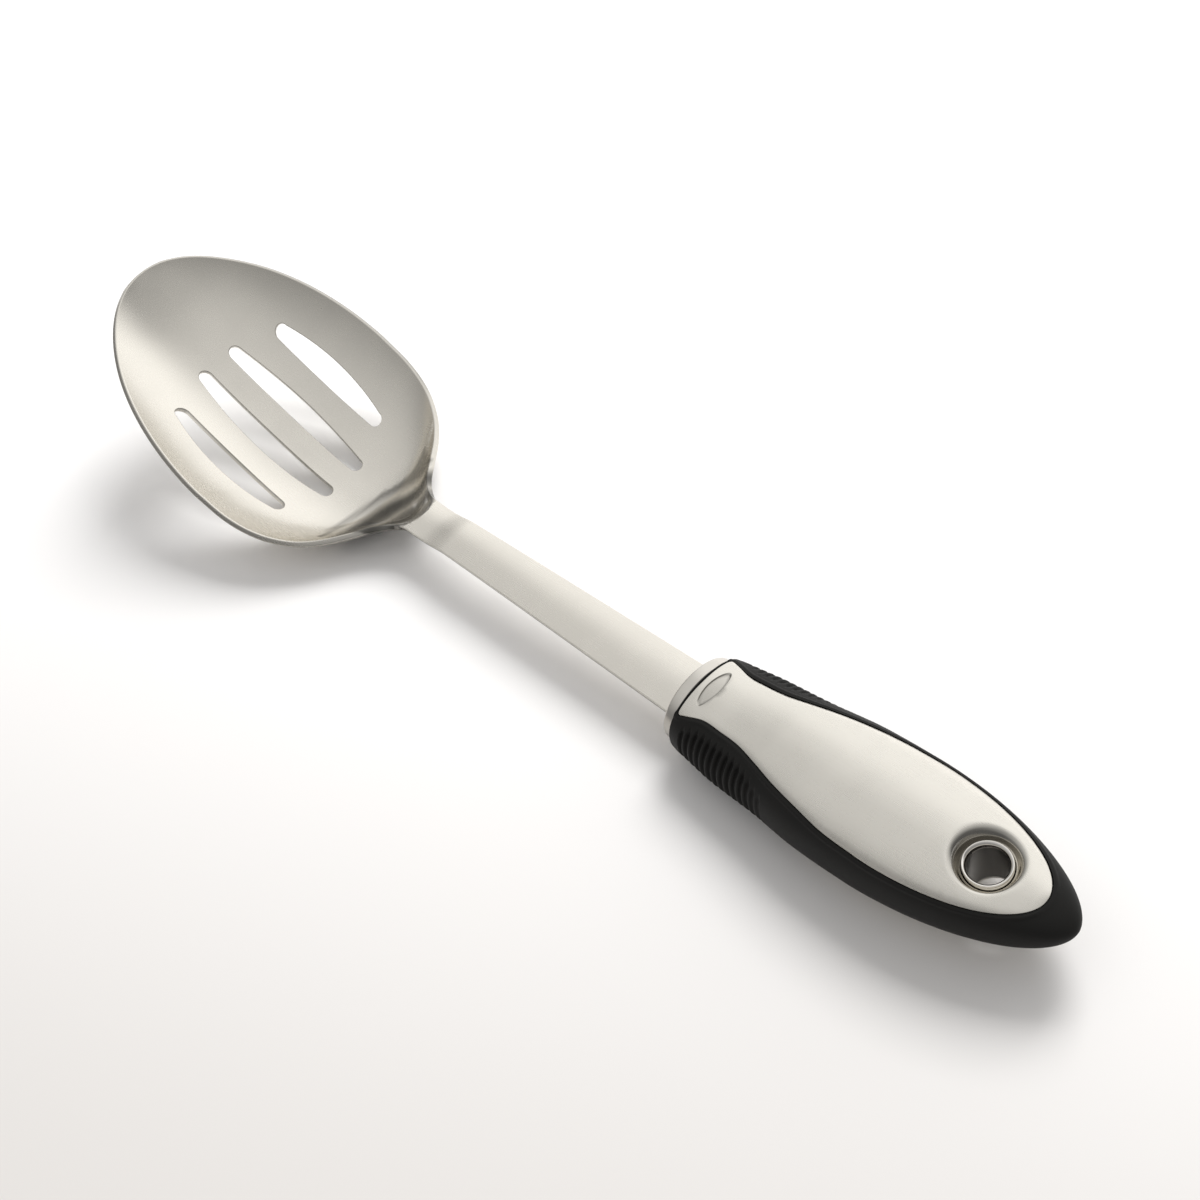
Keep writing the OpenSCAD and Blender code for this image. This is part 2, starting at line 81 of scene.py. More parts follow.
def fade(x: np.ndarray, low: float, high: float) -> np.ndarray:
    """Returns a smooth step from 0 to 1 as x goes from low to high."""
    return ease((x - low) / (high - low))


def unit(v: np.ndarray) -> np.ndarray:
    """Returns the rows of v, each one long."""
    return v / np.maximum(np.linalg.norm(v, axis=-1, keepdims=True), 1e-12)


@dataclass(frozen=True)
class Knots:
    """A smooth curve through given places and values."""

    places: tuple[float, ...]
    values: tuple[float, ...]

    def at(self, x: np.ndarray) -> np.ndarray:
        """Reads the curve.

        Args:
            x: Places along the curve.

        Returns:
            The value at each place, held level past the two ends.
        """
        xs, vs = np.asarray(self.places, float), np.asarray(self.values, float)
        slopes = np.empty_like(vs)
        slopes[0] = (vs[1] - vs[0]) / (xs[1] - xs[0])
        slopes[-1] = (vs[-1] - vs[-2]) / (xs[-1] - xs[-2])
        slopes[1:-1] = (vs[2:] - vs[:-2]) / (xs[2:] - xs[:-2])
        i = np.clip(np.searchsorted(xs, x, side="right") - 1, 0, len(xs) - 2)
        h = xs[i + 1] - xs[i]
        t = ramp((x - xs[i]) / h)
        return (vs[i] * (2 * t**3 - 3 * t**2 + 1) + slopes[i] * h * (t**3 - 2 * t**2 + t)
                + vs[i + 1] * (3 * t**2 - 2 * t**3) + slopes[i + 1] * h * (t**3 - t**2))


@dataclass(frozen=True)
class Layout:
    """Places along the spoon from the bowl's tip, in millimetres, as the CAD has them."""

    bowl: float = 98.0
    collar: float = 196.1
    handle: float = 199.3
    end: float = 306.7
    hole: float = 283.4
    middle: float = 152.739
    lowest: float = -0.1724

    def to_frame(self, points: np.ndarray) -> np.ndarray:
        """Moves points from spoon millimetres into the shared frame, in metres."""
        return (points - np.array([self.middle, 0.0, self.lowest])) * MM


LAYOUT = Layout()


@dataclass(frozen=True)
class BlankForm:
    """The pressed sheet's outline, rim, dish and crown.

    Lengths are in millimetres, and places with share or zone in their name are shares of the bowl's
    length. A row band has a start, an end and a spacing.
    """

    width: float = 66.0
    depth: float = 13.0
    sheet: float = 1.58
    crown_rise: float = 0.9
    dish_power: float = 2.6
    nose_power: float = 1.9
    widest_share: float = 0.53
    deepest_share: float = 0.44
    dish_share: float = 0.99
    crease_side: float = 1.47
    crease_bow: float = 2.35
    crease_zone: Span = (0.84, 0.96)
    crown_zone: Span = (0.95, 1.03)
    rim: Knots = Knots(
        (0, 0.105, 0.21, 0.315, 0.42, 0.525, 0.63, 0.735, 0.81, 0.88, 0.94, 1, 1.083, 1.165, 2.001),
        (43.3, 38.06, 33.82, 29.49, 24.9, 20.22, 15.85, 12.12, 9.96, 9.4, 10.39, 11.34, 11.0, 12.0, 10.8))
    back: Knots = Knots(
        (0.53, 0.627, 0.711, 0.78, 0.832, 0.885, 0.923, 0.967, 1, 1.04, 1.12, 2.001),
        (33, 32.41, 30.16, 26.2, 21.29, 14.62, 10.3, 7.0, 5.94, 5.8, 5.8, 7.8))
    bowl_edge_step: float = 0.8
    shaft_edge_step: float = 1.4
    shaft: Span = (104.0, 202.1)
    row_bands: tuple[Triple, ...] = ((0.8, 78, 1.2), (78, 92, 0.8), (92, 106, 0.45), (106, 202, 1.6))
    row_gap: float = 1.2
    neck: Span = (92.0, 106.0)
    neck_gap: float = 0.7

    @property
    def widest(self) -> float:
        """The place where the bowl is widest."""
        return self.widest_share * LAYOUT.bowl

    def half(self, s: np.ndarray) -> np.ndarray:
        """Works out the half width of the blank.

        Args:
            s: Places along the spoon.

        Returns:
            The half width at each place.
        """
        s = np.asarray(s, float)
        ahead = np.maximum((self.widest - s) / self.widest, 0)
        front = self.width / 2 * np.sqrt(np.maximum(1 - ahead**self.nose_power, 1e-5))
        return np.where(s < self.widest, front, self.back.at(s / LAYOUT.bowl))

    def height(self, s: np.ndarray, y: np.ndarray) -> np.ndarray:
        """Works out the height of the upper face.

        Args:
            s: Places along the spoon.
            y: Places across it.

        Returns:
            The height at each place.
        """
        s = np.maximum(np.asarray(s, float), 0.001)
        q = y / self.half(s)
        share = s / LAYOUT.bowl
        bend = (self.crease_side + self.crease_bow * ramp(1 - q * q)) * fade(share, *self.crease_zone)
        deepest = self.deepest_share * LAYOUT.bowl
        reach = np.where(s < deepest, deepest, self.dish_share * LAYOUT.bowl + bend - deepest)
        dish = self.depth * (1 - ramp(np.abs(s - deepest) / reach) ** self.dish_power)
        crown = self.crown_rise * fade(share, *self.crown_zone)
        return (self.rim.at(share) - dish * (1 - np.abs(q) ** self.dish_power)
                + crown * (1 - q * q))

    def outline(self) -> Loop:
        """Returns the outline of the blank, counter-clockwise from the tip."""
        front = self.widest * (1 - np.cos(np.radians(np.linspace(0, 90, 70)[1:])))
        back = np.arange(self.widest + self.bowl_edge_step, self.shaft[0], self.bowl_edge_step)
        s = np.concatenate([front, back, np.arange(*self.shaft, self.shaft_edge_step)])
        return [(0.0, 0.0)] + both_sides(s, self.half(s))

    def rows(self) -> Loop:
        """Returns points over the blank, closer together at the neck."""
        points: Loop = []
        for s in np.concatenate([np.arange(*band) for band in self.row_bands]):
            half = float(self.half(np.array(s)))
            gap = self.neck_gap if self.neck[0] < s < self.neck[1] else self.row_gap
            count = max(3, int(2 * half / gap))
            points += [(float(s), float(y)) for y in np.linspace(-half, half, count)[1:-1]]
        return points


def both_sides(s: np.ndarray, half: np.ndarray) -> Loop:
    """Returns an outline: out along its near side, then back along its far side."""
    near = [(float(a), -float(b)) for a, b in zip(s, half)]
    return near + [(a, -b) for a, b in reversed(near)]


@dataclass(frozen=True)
class Slot:
    """One draining slot: straight inner edge, bowed outer edge and round ends."""

    offset: float
    start: float
    length: float
    bow: float
    far: bool
    end_width: float = 3.6
    end_points: int = 17
    side_points: int = 45

    def outline(self) -> Loop:
        """Returns the slot's outline, clockwise, about a millimetre between points."""
        r = self.end_width / 2
        a, b = self.start + r, self.start + self.length - r
        loop: Loop = []
        for w in np.radians(np.linspace(-90, -270, self.end_points)):
            loop.append((a + r * math.cos(w), self.offset + r + r * math.sin(w)))
        for t in np.linspace(-1, 1, self.side_points)[1:-1]:
            loop.append(((a + b) / 2 + t * (b - a) / 2,
                         self.offset + self.end_width + self.bow * (1 - t * t)))
        for w in np.radians(np.linspace(90, -90, self.end_points)):
            loop.append((b + r * math.cos(w), self.offset + r + r * math.sin(w)))
        for t in np.linspace(1, -1, self.side_points)[1:-1]:
            loop.append(((a + b) / 2 + t * (b - a) / 2, self.offset))
        return loop if self.far else [(s, -y) for s, y in reversed(loop)]


@dataclass(frozen=True)
class HandleForm:
    """The handle's outer skin and the outline of its cover plates, in millimetres."""

    width: float = 35.6
    thickness: float = 22.6
    cover_width: float = 30.4
    cover_start: float = 199.8
    cover_end: float = 299.0
    corner: float = 1.2
    corner_gap: float = 0.8
    station_step: float = 0.9
    power: float = 2.25
    tail_power: float = 1.85
    side: Knots = Knots((0, 0.02, 0.06, 0.123, 0.258, 0.368, 0.45, 0.528),
                        (0.725, 0.753, 0.789, 0.845, 0.897, 0.972, 0.995, 1))
    thick: Knots = Knots((0, 0.02, 0.06, 0.123, 0.258, 0.368, 0.45, 0.528),
                         (0.825, 0.835, 0.853, 0.87, 0.958, 1, 1, 1))
    mid: Knots = Knots((0, 0.06, 0.123, 0.19, 0.258, 0.368, 0.478, 0.584, 0.72, 0.86, 1),
                       (0.894, 0.898, 0.903, 0.925, 0.962, 1.006, 1.05, 1.102, 1.186, 1.252, 1.34))
    cover: Knots = Knots((0, 0.035, 0.075, 0.125, 0.185, 0.25, 0.32, 0.40, 0.49, 0.60),
                         (0.636, 0.58, 0.52, 0.532, 0.565, 0.663, 0.78, 0.88, 0.968, 1))

    @property
    def tail(self) -> float:
        """The place where the rounded end begins."""
        return LAYOUT.handle + self.side.places[-1] * (LAYOUT.end - LAYOUT.handle)

    def share(self, s: np.ndarray) -> np.ndarray:
        """Returns how far s is along the handle, from 0 to 1."""
        return (s - LAYOUT.handle) / (LAYOUT.end - LAYOUT.handle)

    def drop(self, s: np.ndarray) -> np.ndarray:
        """Returns the share of the size that is left at s in the rounded end."""
        t = ramp((s - self.tail) / (LAYOUT.end - self.tail))
        return (1 - t**self.tail_power) ** (1 / self.tail_power)

    def half(self, s: np.ndarray) -> np.ndarray:
        """Returns the half width of the handle."""
        return self.width / 2 * np.where(s < self.tail, self.side.at(self.share(s)), self.drop(s))

    def half_thick(self, s: np.ndarray) -> np.ndarray:
        """Returns the half thickness of the handle."""
        return self.thickness / 2 * np.where(s < self.tail, self.thick.at(self.share(s)), self.drop(s))

    def middle(self, s: np.ndarray) -> np.ndarray:
        """Returns the height of the handle's middle."""
        return self.thickness / 2 * self.mid.at(self.share(s))

    def skin(self, s: np.ndarray, y: np.ndarray, side: Side) -> np.ndarray:
        """Returns the height of the skin at each s and y.

        Args:
            s: Places along the spoon.
            y: Places across it.
            side: The top or the underside.

        Returns:
            The heights, in millimetres.
        """
        a = np.minimum(np.abs(y) / np.maximum(self.half(s), 1e-3), 1)
        n = self.power
        return self.middle(s) + side.value * self.half_thick(s) * (1 - a**n) ** (1 / n)

    def slope(self, s: float, side: Side, reach: float = 0.05) -> float:
        """Returns how steeply the middle of the skin climbs along the spoon at s."""
        ends = self.skin(np.array([s - reach, s + reach]), np.zeros(2), side)
        return float(ends[1] - ends[0]) / (2 * reach)

    def cover_half(self, s: np.ndarray, grow: float = 0.0) -> np.ndarray:
        """Returns the half width of a cover plate's outline.

        Args:
            s: Places along the spoon.
            grow: How far outside the plate's own edge the outline lies.

        Returns:
            The half widths, in millimetres.
        """
        start, end = self.cover_start - grow, self.cover_end + grow
        share = (s - start) / (end - start)
        last = self.cover.places[-1]
        cut = self.corner * (1 - np.sqrt(1 - (1 - ramp((s - start) / self.corner)) ** 2))
        front = self.cover.at(share) * self.cover_width / 2 - cut
        back = self.cover_width / 2 * np.sqrt(np.maximum(1 - ramp((share - last) / (1 - last)) ** 2, 0))
        return np.where(share < last, front, back) + grow * ease((end - s) / 2)

    def cover_stations(self, grow: float = 0.0) -> np.ndarray:
        """Works out places along a cover's outline, close together where it turns.

        Args:
            grow: How far outside the plate's own edge the outline lies.

        Returns:
            The places, from the front to the back.
        """
        start, end = self.cover_start - grow, self.cover_end + grow
        last = start + self.cover.places[-1] * (end - start)
        corner = start + self.corner * (1 - np.cos(np.radians(np.linspace(0, 90, 9))))
        body = np.arange(start + self.corner + self.corner_gap, last, self.station_step)
        tail = last + (end - last) * np.sin(np.radians(np.linspace(0, 90, 64)))
        return np.concatenate([corner, body, tail])


BLANK = BlankForm()
HANDLE = HandleForm()


def inside(points: np.ndarray, loop: Loop) -> np.ndarray:
    """Tells which points lie inside a closed loop.

    Args:
        points: One point a row.
        loop: The corners of the loop in order.

    Returns:
        One True or False for each point.
    """
    x, y = points[:, 0], points[:, 1]
    found = np.zeros(len(points), bool)
    for (x0, y0), (x1, y1) in zip(loop, loop[1:] + loop[:1]):
        if y0 == y1:
            continue
        crosses = (y0 > y) != (y1 > y)
        found ^= crosses & (x < (x1 - x0) * (y - y0) / (y1 - y0) + x0)
    return found


def slope_normal(height: Height, points: np.ndarray, side: Side, step: float) -> np.ndarray:
    """Works out the outward normals of a height field.

    Args:
        height: The height at each s and y.
        points: One s and y a row.
        side: Which way is out.
        step: Half the distance over which the slope is taken.

    Returns:
        One normal a row.
    """
    s, y = points[:, 0], points[:, 1]
    # Near the tip the backward step is shorter, so that it stays on the sheet.
    room = np.maximum(s * 0.5, 1e-4) if step < 1 else np.maximum(s - 0.05, 1e-3)
    back = np.minimum(step, room)
    ds = (height(s + step, y) - height(s - back, y)) / (step + back)
    dy = (height(s, y + step) - height(s, y - step)) / (2 * step)
    return side.value * unit(np.stack([-ds, -dy, np.ones_like(ds)], axis=1))


@dataclass
class SheetPiece:
    """A curved sheet of even thickness with rounded edges, made from its outline and holes."""

    name: str
    height: Height
    loops: list[Loop]
    points: list[tuple[float, float]]
    thickness: float
    edge: float
    side: Side = Side.TOP
    guides: list[Loop] = field(default_factory=list)
    spacing: float = 0.55
    upper_step: float = 0.03
    under_step: float = 0.05
    hole_edge: float | None = None
    face_points: int = 0

    def _edge_frame(self, loop: Loop, edge: float) -> tuple[np.ndarray, np.ndarray]:
        """Works out where a loop's face ends and its rounded edge begins.

        Args:
            loop: The outline or a hole.
            edge: The radius of its rounding.

        Returns:
            The loop's points, set in by the rounding, and their outward directions.
        """
        flat = np.array(loop)
        normal = slope_normal(self.height, flat, self.side, self.upper_step)
        solid = np.column_stack([flat, self.height(flat[:, 0], flat[:, 1])])
        along = unit(np.roll(solid, -1, axis=0) - np.roll(solid, 1, axis=0))
        outward = np.column_stack([along[:, 1], -along[:, 0], np.zeros(len(flat))])
        out = np.cross(along, normal)
        out *= np.sign(np.sum(out * outward, axis=1, keepdims=True))
        out = unit(out)
        return solid - edge * out, out

    def _triangles(self, insets: list[np.ndarray]) -> tuple[np.ndarray, np.ndarray, list[np.ndarray]]:
        """Fills the space between the inset loops with triangles.

        Args:
            insets: The inset points of each loop.

        Returns:
            The flat points, the triangles and where each loop's points ended up.
        """
        rings = [[(float(p[0]), float(p[1])) for p in inset] for inset in insets] + self.guides
        corners = [p for ring in rings for p in ring]
        tree = KDTree(len(corners))
        for i, p in enumerate(corners):
            tree.insert((p[0], p[1], 0.0), i)
        tree.balance()
        loose = np.array([p for p in self.points if tree.find((p[0], p[1], 0.0))[2] > self.spacing])
        keep = inside(loose, rings[0])
        for ring in rings[1:len(insets)]:
            keep &= ~inside(loose, ring)
        flat = corners + [tuple(p) for p in loose[keep]]
        edges, first = [], 0
        for ring in rings:
            n = len(ring)
            edges += [(first + i, first + (i + 1) % n) for i in range(n)]
            first += n
        result = delaunay_2d_cdt([Vector(p) for p in flat], edges, [], 1, 1e-6)
        verts = np.array([tuple(v) for v in result[0]])
        faces = np.array(result[2])
        centres = verts[faces].mean(axis=1)
        good = inside(centres, rings[0])
        for ring in rings[1:len(insets)]:
            good &= ~inside(centres, ring)
        faces = faces[good]
        a, b, c = (verts[faces[:, k]] for k in range(3))
        area = (b[:, 0] - a[:, 0]) * (c[:, 1] - a[:, 1]) - (b[:, 1] - a[:, 1]) * (c[:, 0] - a[:, 0])
        faces[area < 0] = faces[area < 0][:, ::-1]
        where = {}
        for new, olds in enumerate(result[3]):
            for old in olds:
                where[old] = new
        homes, first = [], 0
        for ring in rings[:len(insets)]:
            homes.append(np.array([where[first + i] for i in range(len(ring))]))
            first += len(ring)
        return verts, faces, homes

    def build(self) -> bpy.types.Object:
        """Makes the closed piece.

        Returns:
            The new object, with a plain mesh in the shared frame.
        """
        hole_edge = self.edge if self.hole_edge is None else self.hole_edge
        edges = [self.edge] + [hole_edge] * (len(self.loops) - 1)
        frames = [self._edge_frame(loop, edge) for loop, edge in zip(self.loops, edges)]
        flat, faces, homes = self._triangles([f[0] for f in frames])
        upper = np.column_stack([flat, self.height(flat[:, 0], flat[:, 1])])
        upper_normal = slope_normal(self.height, flat, self.side, self.upper_step)
        offset = slope_normal(self.height, flat, self.side, self.under_step)
        lower = upper - self.thickness * offset
        points, normals = [upper, lower], [upper_normal, -offset]
        count = len(upper)
        turn = self.side is Side.TOP
        tris = [list(f) if turn else list(f[::-1]) for f in faces.tolist()]
        tris += [[i + count for i in (f[::-1] if turn else f)] for f in faces.tolist()]
        quads: list[list[int]] = []
        total = self.face_points = 2 * count
        turns = np.radians([22.5, 45, 67.5, 90])
        for (_, out), home, edge in zip(frames, homes, edges):
            way, e = offset[home], min(edge, self.thickness / 2)
            rings = [home]
            for face, sign, order in ((upper[home], -1, turns), (lower[home], 1, turns[::-1])):
                for w in order:
                    rings.append(np.arange(total, total + len(home)))
                    points.append(face + out * e * math.sin(w) + sign * way * e * (1 - math.cos(w)))
                    normals.append(unit(out * math.sin(w) - sign * way * math.cos(w)))
                    total += len(home)
            rings.append(home + count)
            for one, two in zip(rings, rings[1:]):
                for i in range(len(home)):
                    j = (i + 1) % len(home)
                    face = [int(one[i]), int(two[i]), int(two[j]), int(one[j])]
                    quads.append(face if turn else face[::-1])
        return make_object(self.name, np.vstack(points), tris + quads, np.vstack(normals))


def make_object(name: str, points: np.ndarray, faces: Sequence[Sequence[int]],
                normals: np.ndarray | None = None) -> bpy.types.Object:
    """Makes a smooth-shaded mesh object from points in spoon millimetres.

    Args:
        name: The piece's name.
        points: One point a row, in spoon millimetres.
        faces: The corners of each face.
        normals: The shading normal at each point, if known.

    Returns:
        The new object, linked to the scene.
    """
    mesh = bpy.data.meshes.new(name)
    mesh.from_pydata(LAYOUT.to_frame(points).tolist(), [], [list(f) for f in faces])
    mesh.update()
    mesh.polygons.foreach_set("use_smooth", [True] * len(mesh.polygons))
    if normals is not None:
        mesh.normals_split_custom_set_from_vertices(normals.tolist())
    piece = bpy.data.objects.new(name, mesh)
    bpy.context.scene.collection.objects.link(piece)
    return piece


def set_attribute(piece: bpy.types.Object, name: str, values: np.ndarray) -> None:
    """Stores one number at each point of a piece under a name."""
    layer = piece.data.attributes.new(name, "FLOAT", "POINT")
    layer.data.foreach_set("value", np.asarray(values, float).ravel())


def spoon_points(piece: bpy.types.Object) -> np.ndarray:
    """Reads a piece's points.

    Args:
        piece: The piece, with its place in its mesh.

    Returns:
        The points in spoon millimetres, one a row.
    """
    flat = np.empty(len(piece.data.vertices) * 3)
    piece.data.vertices.foreach_get("co", flat)
    return flat.reshape(-1, 3) / MM + np.array([LAYOUT.middle, 0.0, LAYOUT.lowest])


@dataclass
class Draft:
    """The points and faces of a mesh that is being put together."""

    points: list[np.ndarray] = field(default_factory=list)
    faces: list[list[int]] = field(default_factory=list)
    total: int = 0

    def add(self, row: np.ndarray) -> list[int]:
        """Adds a row of points.

        Args:
            row: One point a row, in spoon millimetres.

        Returns:
            The numbers of the points.
        """
        self.points.append(row)
        self.total += len(row)
        return list(range(self.total - len(row), self.total))

    def join(self, one: Sequence[int], two: Sequence[int], flip: bool = False) -> None:
        """Joins two rows with four-sided faces.

        Args:
            one: The numbers of the first row's points.
            two: The numbers of the second row's points.
            flip: Whether the faces point the other way.
        """
        for face in ([a, b, d, c] for a, b, c, d in zip(one, one[1:], two, two[1:])):
            self.faces.append(face[::-1] if flip else face)

    def join_rings(self, rings: Sequence[list[int]], flip: bool = False) -> None:
        """Joins each ring with the next, each closed on itself."""
        for one, two in zip(rings, rings[1:]):
            self.join(one + one[:1], two + two[:1], flip)

    def make(self, name: str) -> bpy.types.Object:
        """Makes the object."""
        return make_object(name, np.vstack(self.points), self.faces)


class Board:
    """A node tree that is being wired."""

    def __init__(self, tree: bpy.types.NodeTree) -> None:
        """Keeps the tree that nodes are added to."""
        self.tree = tree

    def set(self, node: bpy.types.Node, inputs: dict) -> None:
        """Gives a node's inputs their values and wires.

        Args:
            node: The node.
            inputs: A value or an output socket for each named or numbered input.
        """
        for key, value in inputs.items():
            if isinstance(value, bpy.types.NodeSocket):
                self.tree.links.new(value, node.inputs[key])
            else:
                node.inputs[key].default_value = value

    def add(self, kind: str, inputs: dict | None = None, **settings: object) -> bpy.types.Node:
        """Adds a node.

        Args:
            kind: Blender's name of the node type.
            inputs: A value or an output socket for each named or numbered input.
            settings: The node's own settings.

        Returns:
            The new node.
        """
        node = self.tree.nodes.new(kind)
        for key, value in settings.items():
            setattr(node, key, value)
        self.set(node, inputs or {})
        return node

    def math(self, operation: str, *values: object) -> bpy.types.NodeSocket:
        """Returns the result of a sum on values and sockets."""
        return self.add("ShaderNodeMath", dict(enumerate(values)), operation=operation).outputs[0]

    def step(self, value: object, low: object, high: object) -> bpy.types.NodeSocket:
        """Returns a smooth step of value between low and high."""
        return self.add("ShaderNodeMapRange", {"Value": value, "From Min": low, "From Max": high},
                        interpolation_type="SMOOTHSTEP").outputs["Result"]

    def noise(self, place: bpy.types.NodeSocket, scale: float, detail: float,
              rough: float = 0.5) -> bpy.types.NodeSocket:
        """Adds a noise pattern.

        Args:
            place: The coordinates that it is read at.
            scale: How fine it is.
            detail: How many finer layers it has.
            rough: How strong the finer layers are.

        Returns:
            The pattern's value.
        """
        return self.add("ShaderNodeTexNoise", {"Vector": place, "Scale": scale, "Detail": detail,
                                               "Roughness": rough}).outputs[0]

    def bump(self, height: bpy.types.NodeSocket, strength: object, distance: float,
             **more: bpy.types.NodeSocket) -> bpy.types.NodeSocket:
        """Adds a bump.

        Args:
            height: The pattern.
            strength: How strongly it shows.
            distance: How high it is, in metres.
            more: Further inputs by name.

        Returns:
            The bumped normal.
        """
        return self.add("ShaderNodeBump", {"Height": height, "Strength": strength, "Distance": distance,
                                           **more}).outputs[0]

    def blend(self, factor: object, low: Triple, high: Triple) -> bpy.types.NodeSocket:
        """Returns a colour that goes from low to high with the factor."""
        return self.add("ShaderNodeMix", {"Factor": factor, 6: (*low, 1.0), 7: (*high, 1.0)},
                        data_type="RGBA").outputs[2]

    def scaled(self, vector: object, amount: object) -> bpy.types.NodeSocket:
        """Returns a vector or a colour times an amount."""
        return self.add("ShaderNodeVectorMath", {0: vector, "Scale": amount}, operation="SCALE").outputs[0]

    def reach(self, place: bpy.types.NodeSocket, way: Triple) -> bpy.types.NodeSocket:
        """Returns how far a place lies along a direction."""
        return self.add("ShaderNodeVectorMath", {0: place, 1: way},
                        operation="DOT_PRODUCT").outputs["Value"]


def start_material(name: str) -> tuple[bpy.types.Material, Board, bpy.types.Node]:
    """Makes a new material.

    Args:
        name: The material's name.

    Returns:
        The material, the board that wires its nodes, and its shader.
    """
    made = bpy.data.materials.new(name)
    made.use_nodes = True
    return made, Board(made.node_tree), made.node_tree.nodes["Principled BSDF"]


@dataclass(frozen=True)
class SteelFinish:
    """A stainless finish: tint, grain and gloss."""

    name: str
    tint: Triple
    rough: float
    rough_swing: float
    grain: float
    grain_size: Triple = (60.0, 2600.0, 2600.0)
    grain_height: float = 0.00004
    mottle: float = 0.05
    mottle_size: float = 140.0
    dimple: float = 0.0
    dimple_height: float = 0.0004
    polish_rough: float = 0.12
    polish_clears: float = 0.8
    reads_painted_shading: bool = False

    def material(self) -> bpy.types.Material:
        """Builds the procedural material.

        Returns:
            The material, which reads Object coordinates, the polish attribute and an attribute of painted
            light and shade.
        """
        made, board, shader = start_material(self.name)
        place = board.add("ShaderNodeTexCoord").outputs["Object"]
        stretched = board.add("ShaderNodeMapping", {"Vector": place, "Scale": self.grain_size}).outputs[0]
        grain = board.noise(stretched, 1.0, 3.0, 0.6)
        cloud = board.noise(place, self.mottle_size, 4.0, 0.55)
        rough = board.math("MULTIPLY_ADD", board.math("ADD", grain, cloud), self.rough_swing,
                           self.rough - self.rough_swing)
        uneven = board.math("ADD", cloud, board.math("MULTIPLY", grain, 0.5))
        shade = board.math("MULTIPLY_ADD", uneven, 2 * self.mottle, 1 - 1.5 * self.mottle)
        strength: object = self.grain
        if self.reads_painted_shading:
            polish = board.add("ShaderNodeAttribute", attribute_name="polish").outputs["Fac"]
            painted_shading = board.add("ShaderNodeAttribute", attribute_name="painted_shading").outputs["Fac"]
            change = board.math("SUBTRACT", self.polish_rough, rough)
            rough = board.math("MULTIPLY_ADD", polish, change, rough)
            strength = board.math("MULTIPLY_ADD", polish, -self.grain * self.polish_clears, self.grain)
            # The stored attribute holds painted light and shade, which scale the base colour.
            shade = board.math("MULTIPLY", shade, painted_shading)
        normal = board.bump(grain, strength, self.grain_height)
        if self.dimple:
            normal = board.bump(cloud, self.dimple, self.dimple_height, Normal=normal)
        board.set(shader, {"Metallic": 1.0, "Base Color": board.scaled(self.tint, shade),
                           "Roughness": rough, "Normal": normal})
        return made


@dataclass(frozen=True)
class RubberFinish:
    """A soft black rubber or moulded plastic."""

    name: str
    tint: Triple
    rough: float
    pebble: float
    specular: float = 0.4
    rough_swing: float = 0.06
    shades: Span = (0.8, 1.25)
    pebble_size: float = 2600.0
    pebble_height: float = 0.00005
    cloud_size: float = 70.0

    def material(self) -> bpy.types.Material:
        """Builds the procedural material.

        Returns:
            The material, which reads Object coordinates.
        """
        made, board, shader = start_material(self.name)
        place = board.add("ShaderNodeTexCoord").outputs["Object"]
        fine = board.noise(place, self.pebble_size, 2.0)
        broad = board.noise(place, self.cloud_size, 3.0)
        dark, light = (tuple(c * shade for c in self.tint) for shade in self.shades)
        rough = board.math("MULTIPLY_ADD", broad, 2 * self.rough_swing, self.rough - self.rough_swing)
        board.set(shader, {"Specular IOR Level": self.specular, "Roughness": rough,
                           "Base Color": board.blend(broad, dark, light),
                           "Normal": board.bump(fine, self.pebble, self.pebble_height)})
        return made


SATIN_BOWL = SteelFinish("satin bowl steel", (0.79, 0.755, 0.685), 0.27, 0.04, 0.06, dimple=0.006,
                         polish_rough=0.16, reads_painted_shading=True)
SATIN_COVER = SteelFinish("satin cover steel", (0.765, 0.735, 0.67), 0.28, 0.06, 0.08, mottle=0.05,
                          mottle_size=160.0, dimple=0.012, polish_rough=0.15, reads_painted_shading=True)
SATIN_COLLAR = SteelFinish("satin collar steel", (0.68, 0.65, 0.595), 0.28, 0.05, 0.08,
                           grain_size=(2600.0, 60.0, 60.0), reads_painted_shading=True)
BRIGHT_EYELET = SteelFinish("polished eyelet steel", (0.84, 0.81, 0.76), 0.34, 0.05, 0.06,
                            grain_size=(900.0, 900.0, 60.0), polish_rough=0.08, reads_painted_shading=True)
PLAIN_PIN = SteelFinish("plain pin steel", (0.6, 0.59, 0.56), 0.4, 0.1, 0.2)
GRIP_RUBBER = RubberFinish("black grip rubber", (0.0075, 0.0072, 0.0064), 0.6, 0.3, specular=0.2)
CORE_PLASTIC = RubberFinish("dark core plastic", (0.02, 0.02, 0.02), 0.5, 0.2)


def finish_piece(piece: bpy.types.Object, material: bpy.types.Material, slot: str,
                 *nodes: str) -> None:
    """Dresses a finished piece and ties it to the frame.

    Args:
        piece: The finished piece.
        material: The material that it wears.
        slot: The record's material slot; not used.
        nodes: The CAD nodes that it stands for.
    """
    piece.data.materials.clear()
    piece.data.materials.append(material)
    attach(piece, "root")
    if nodes:
        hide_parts(*nodes)
    LOG.info("%s: %d faces", piece.name, len(piece.data.polygons))


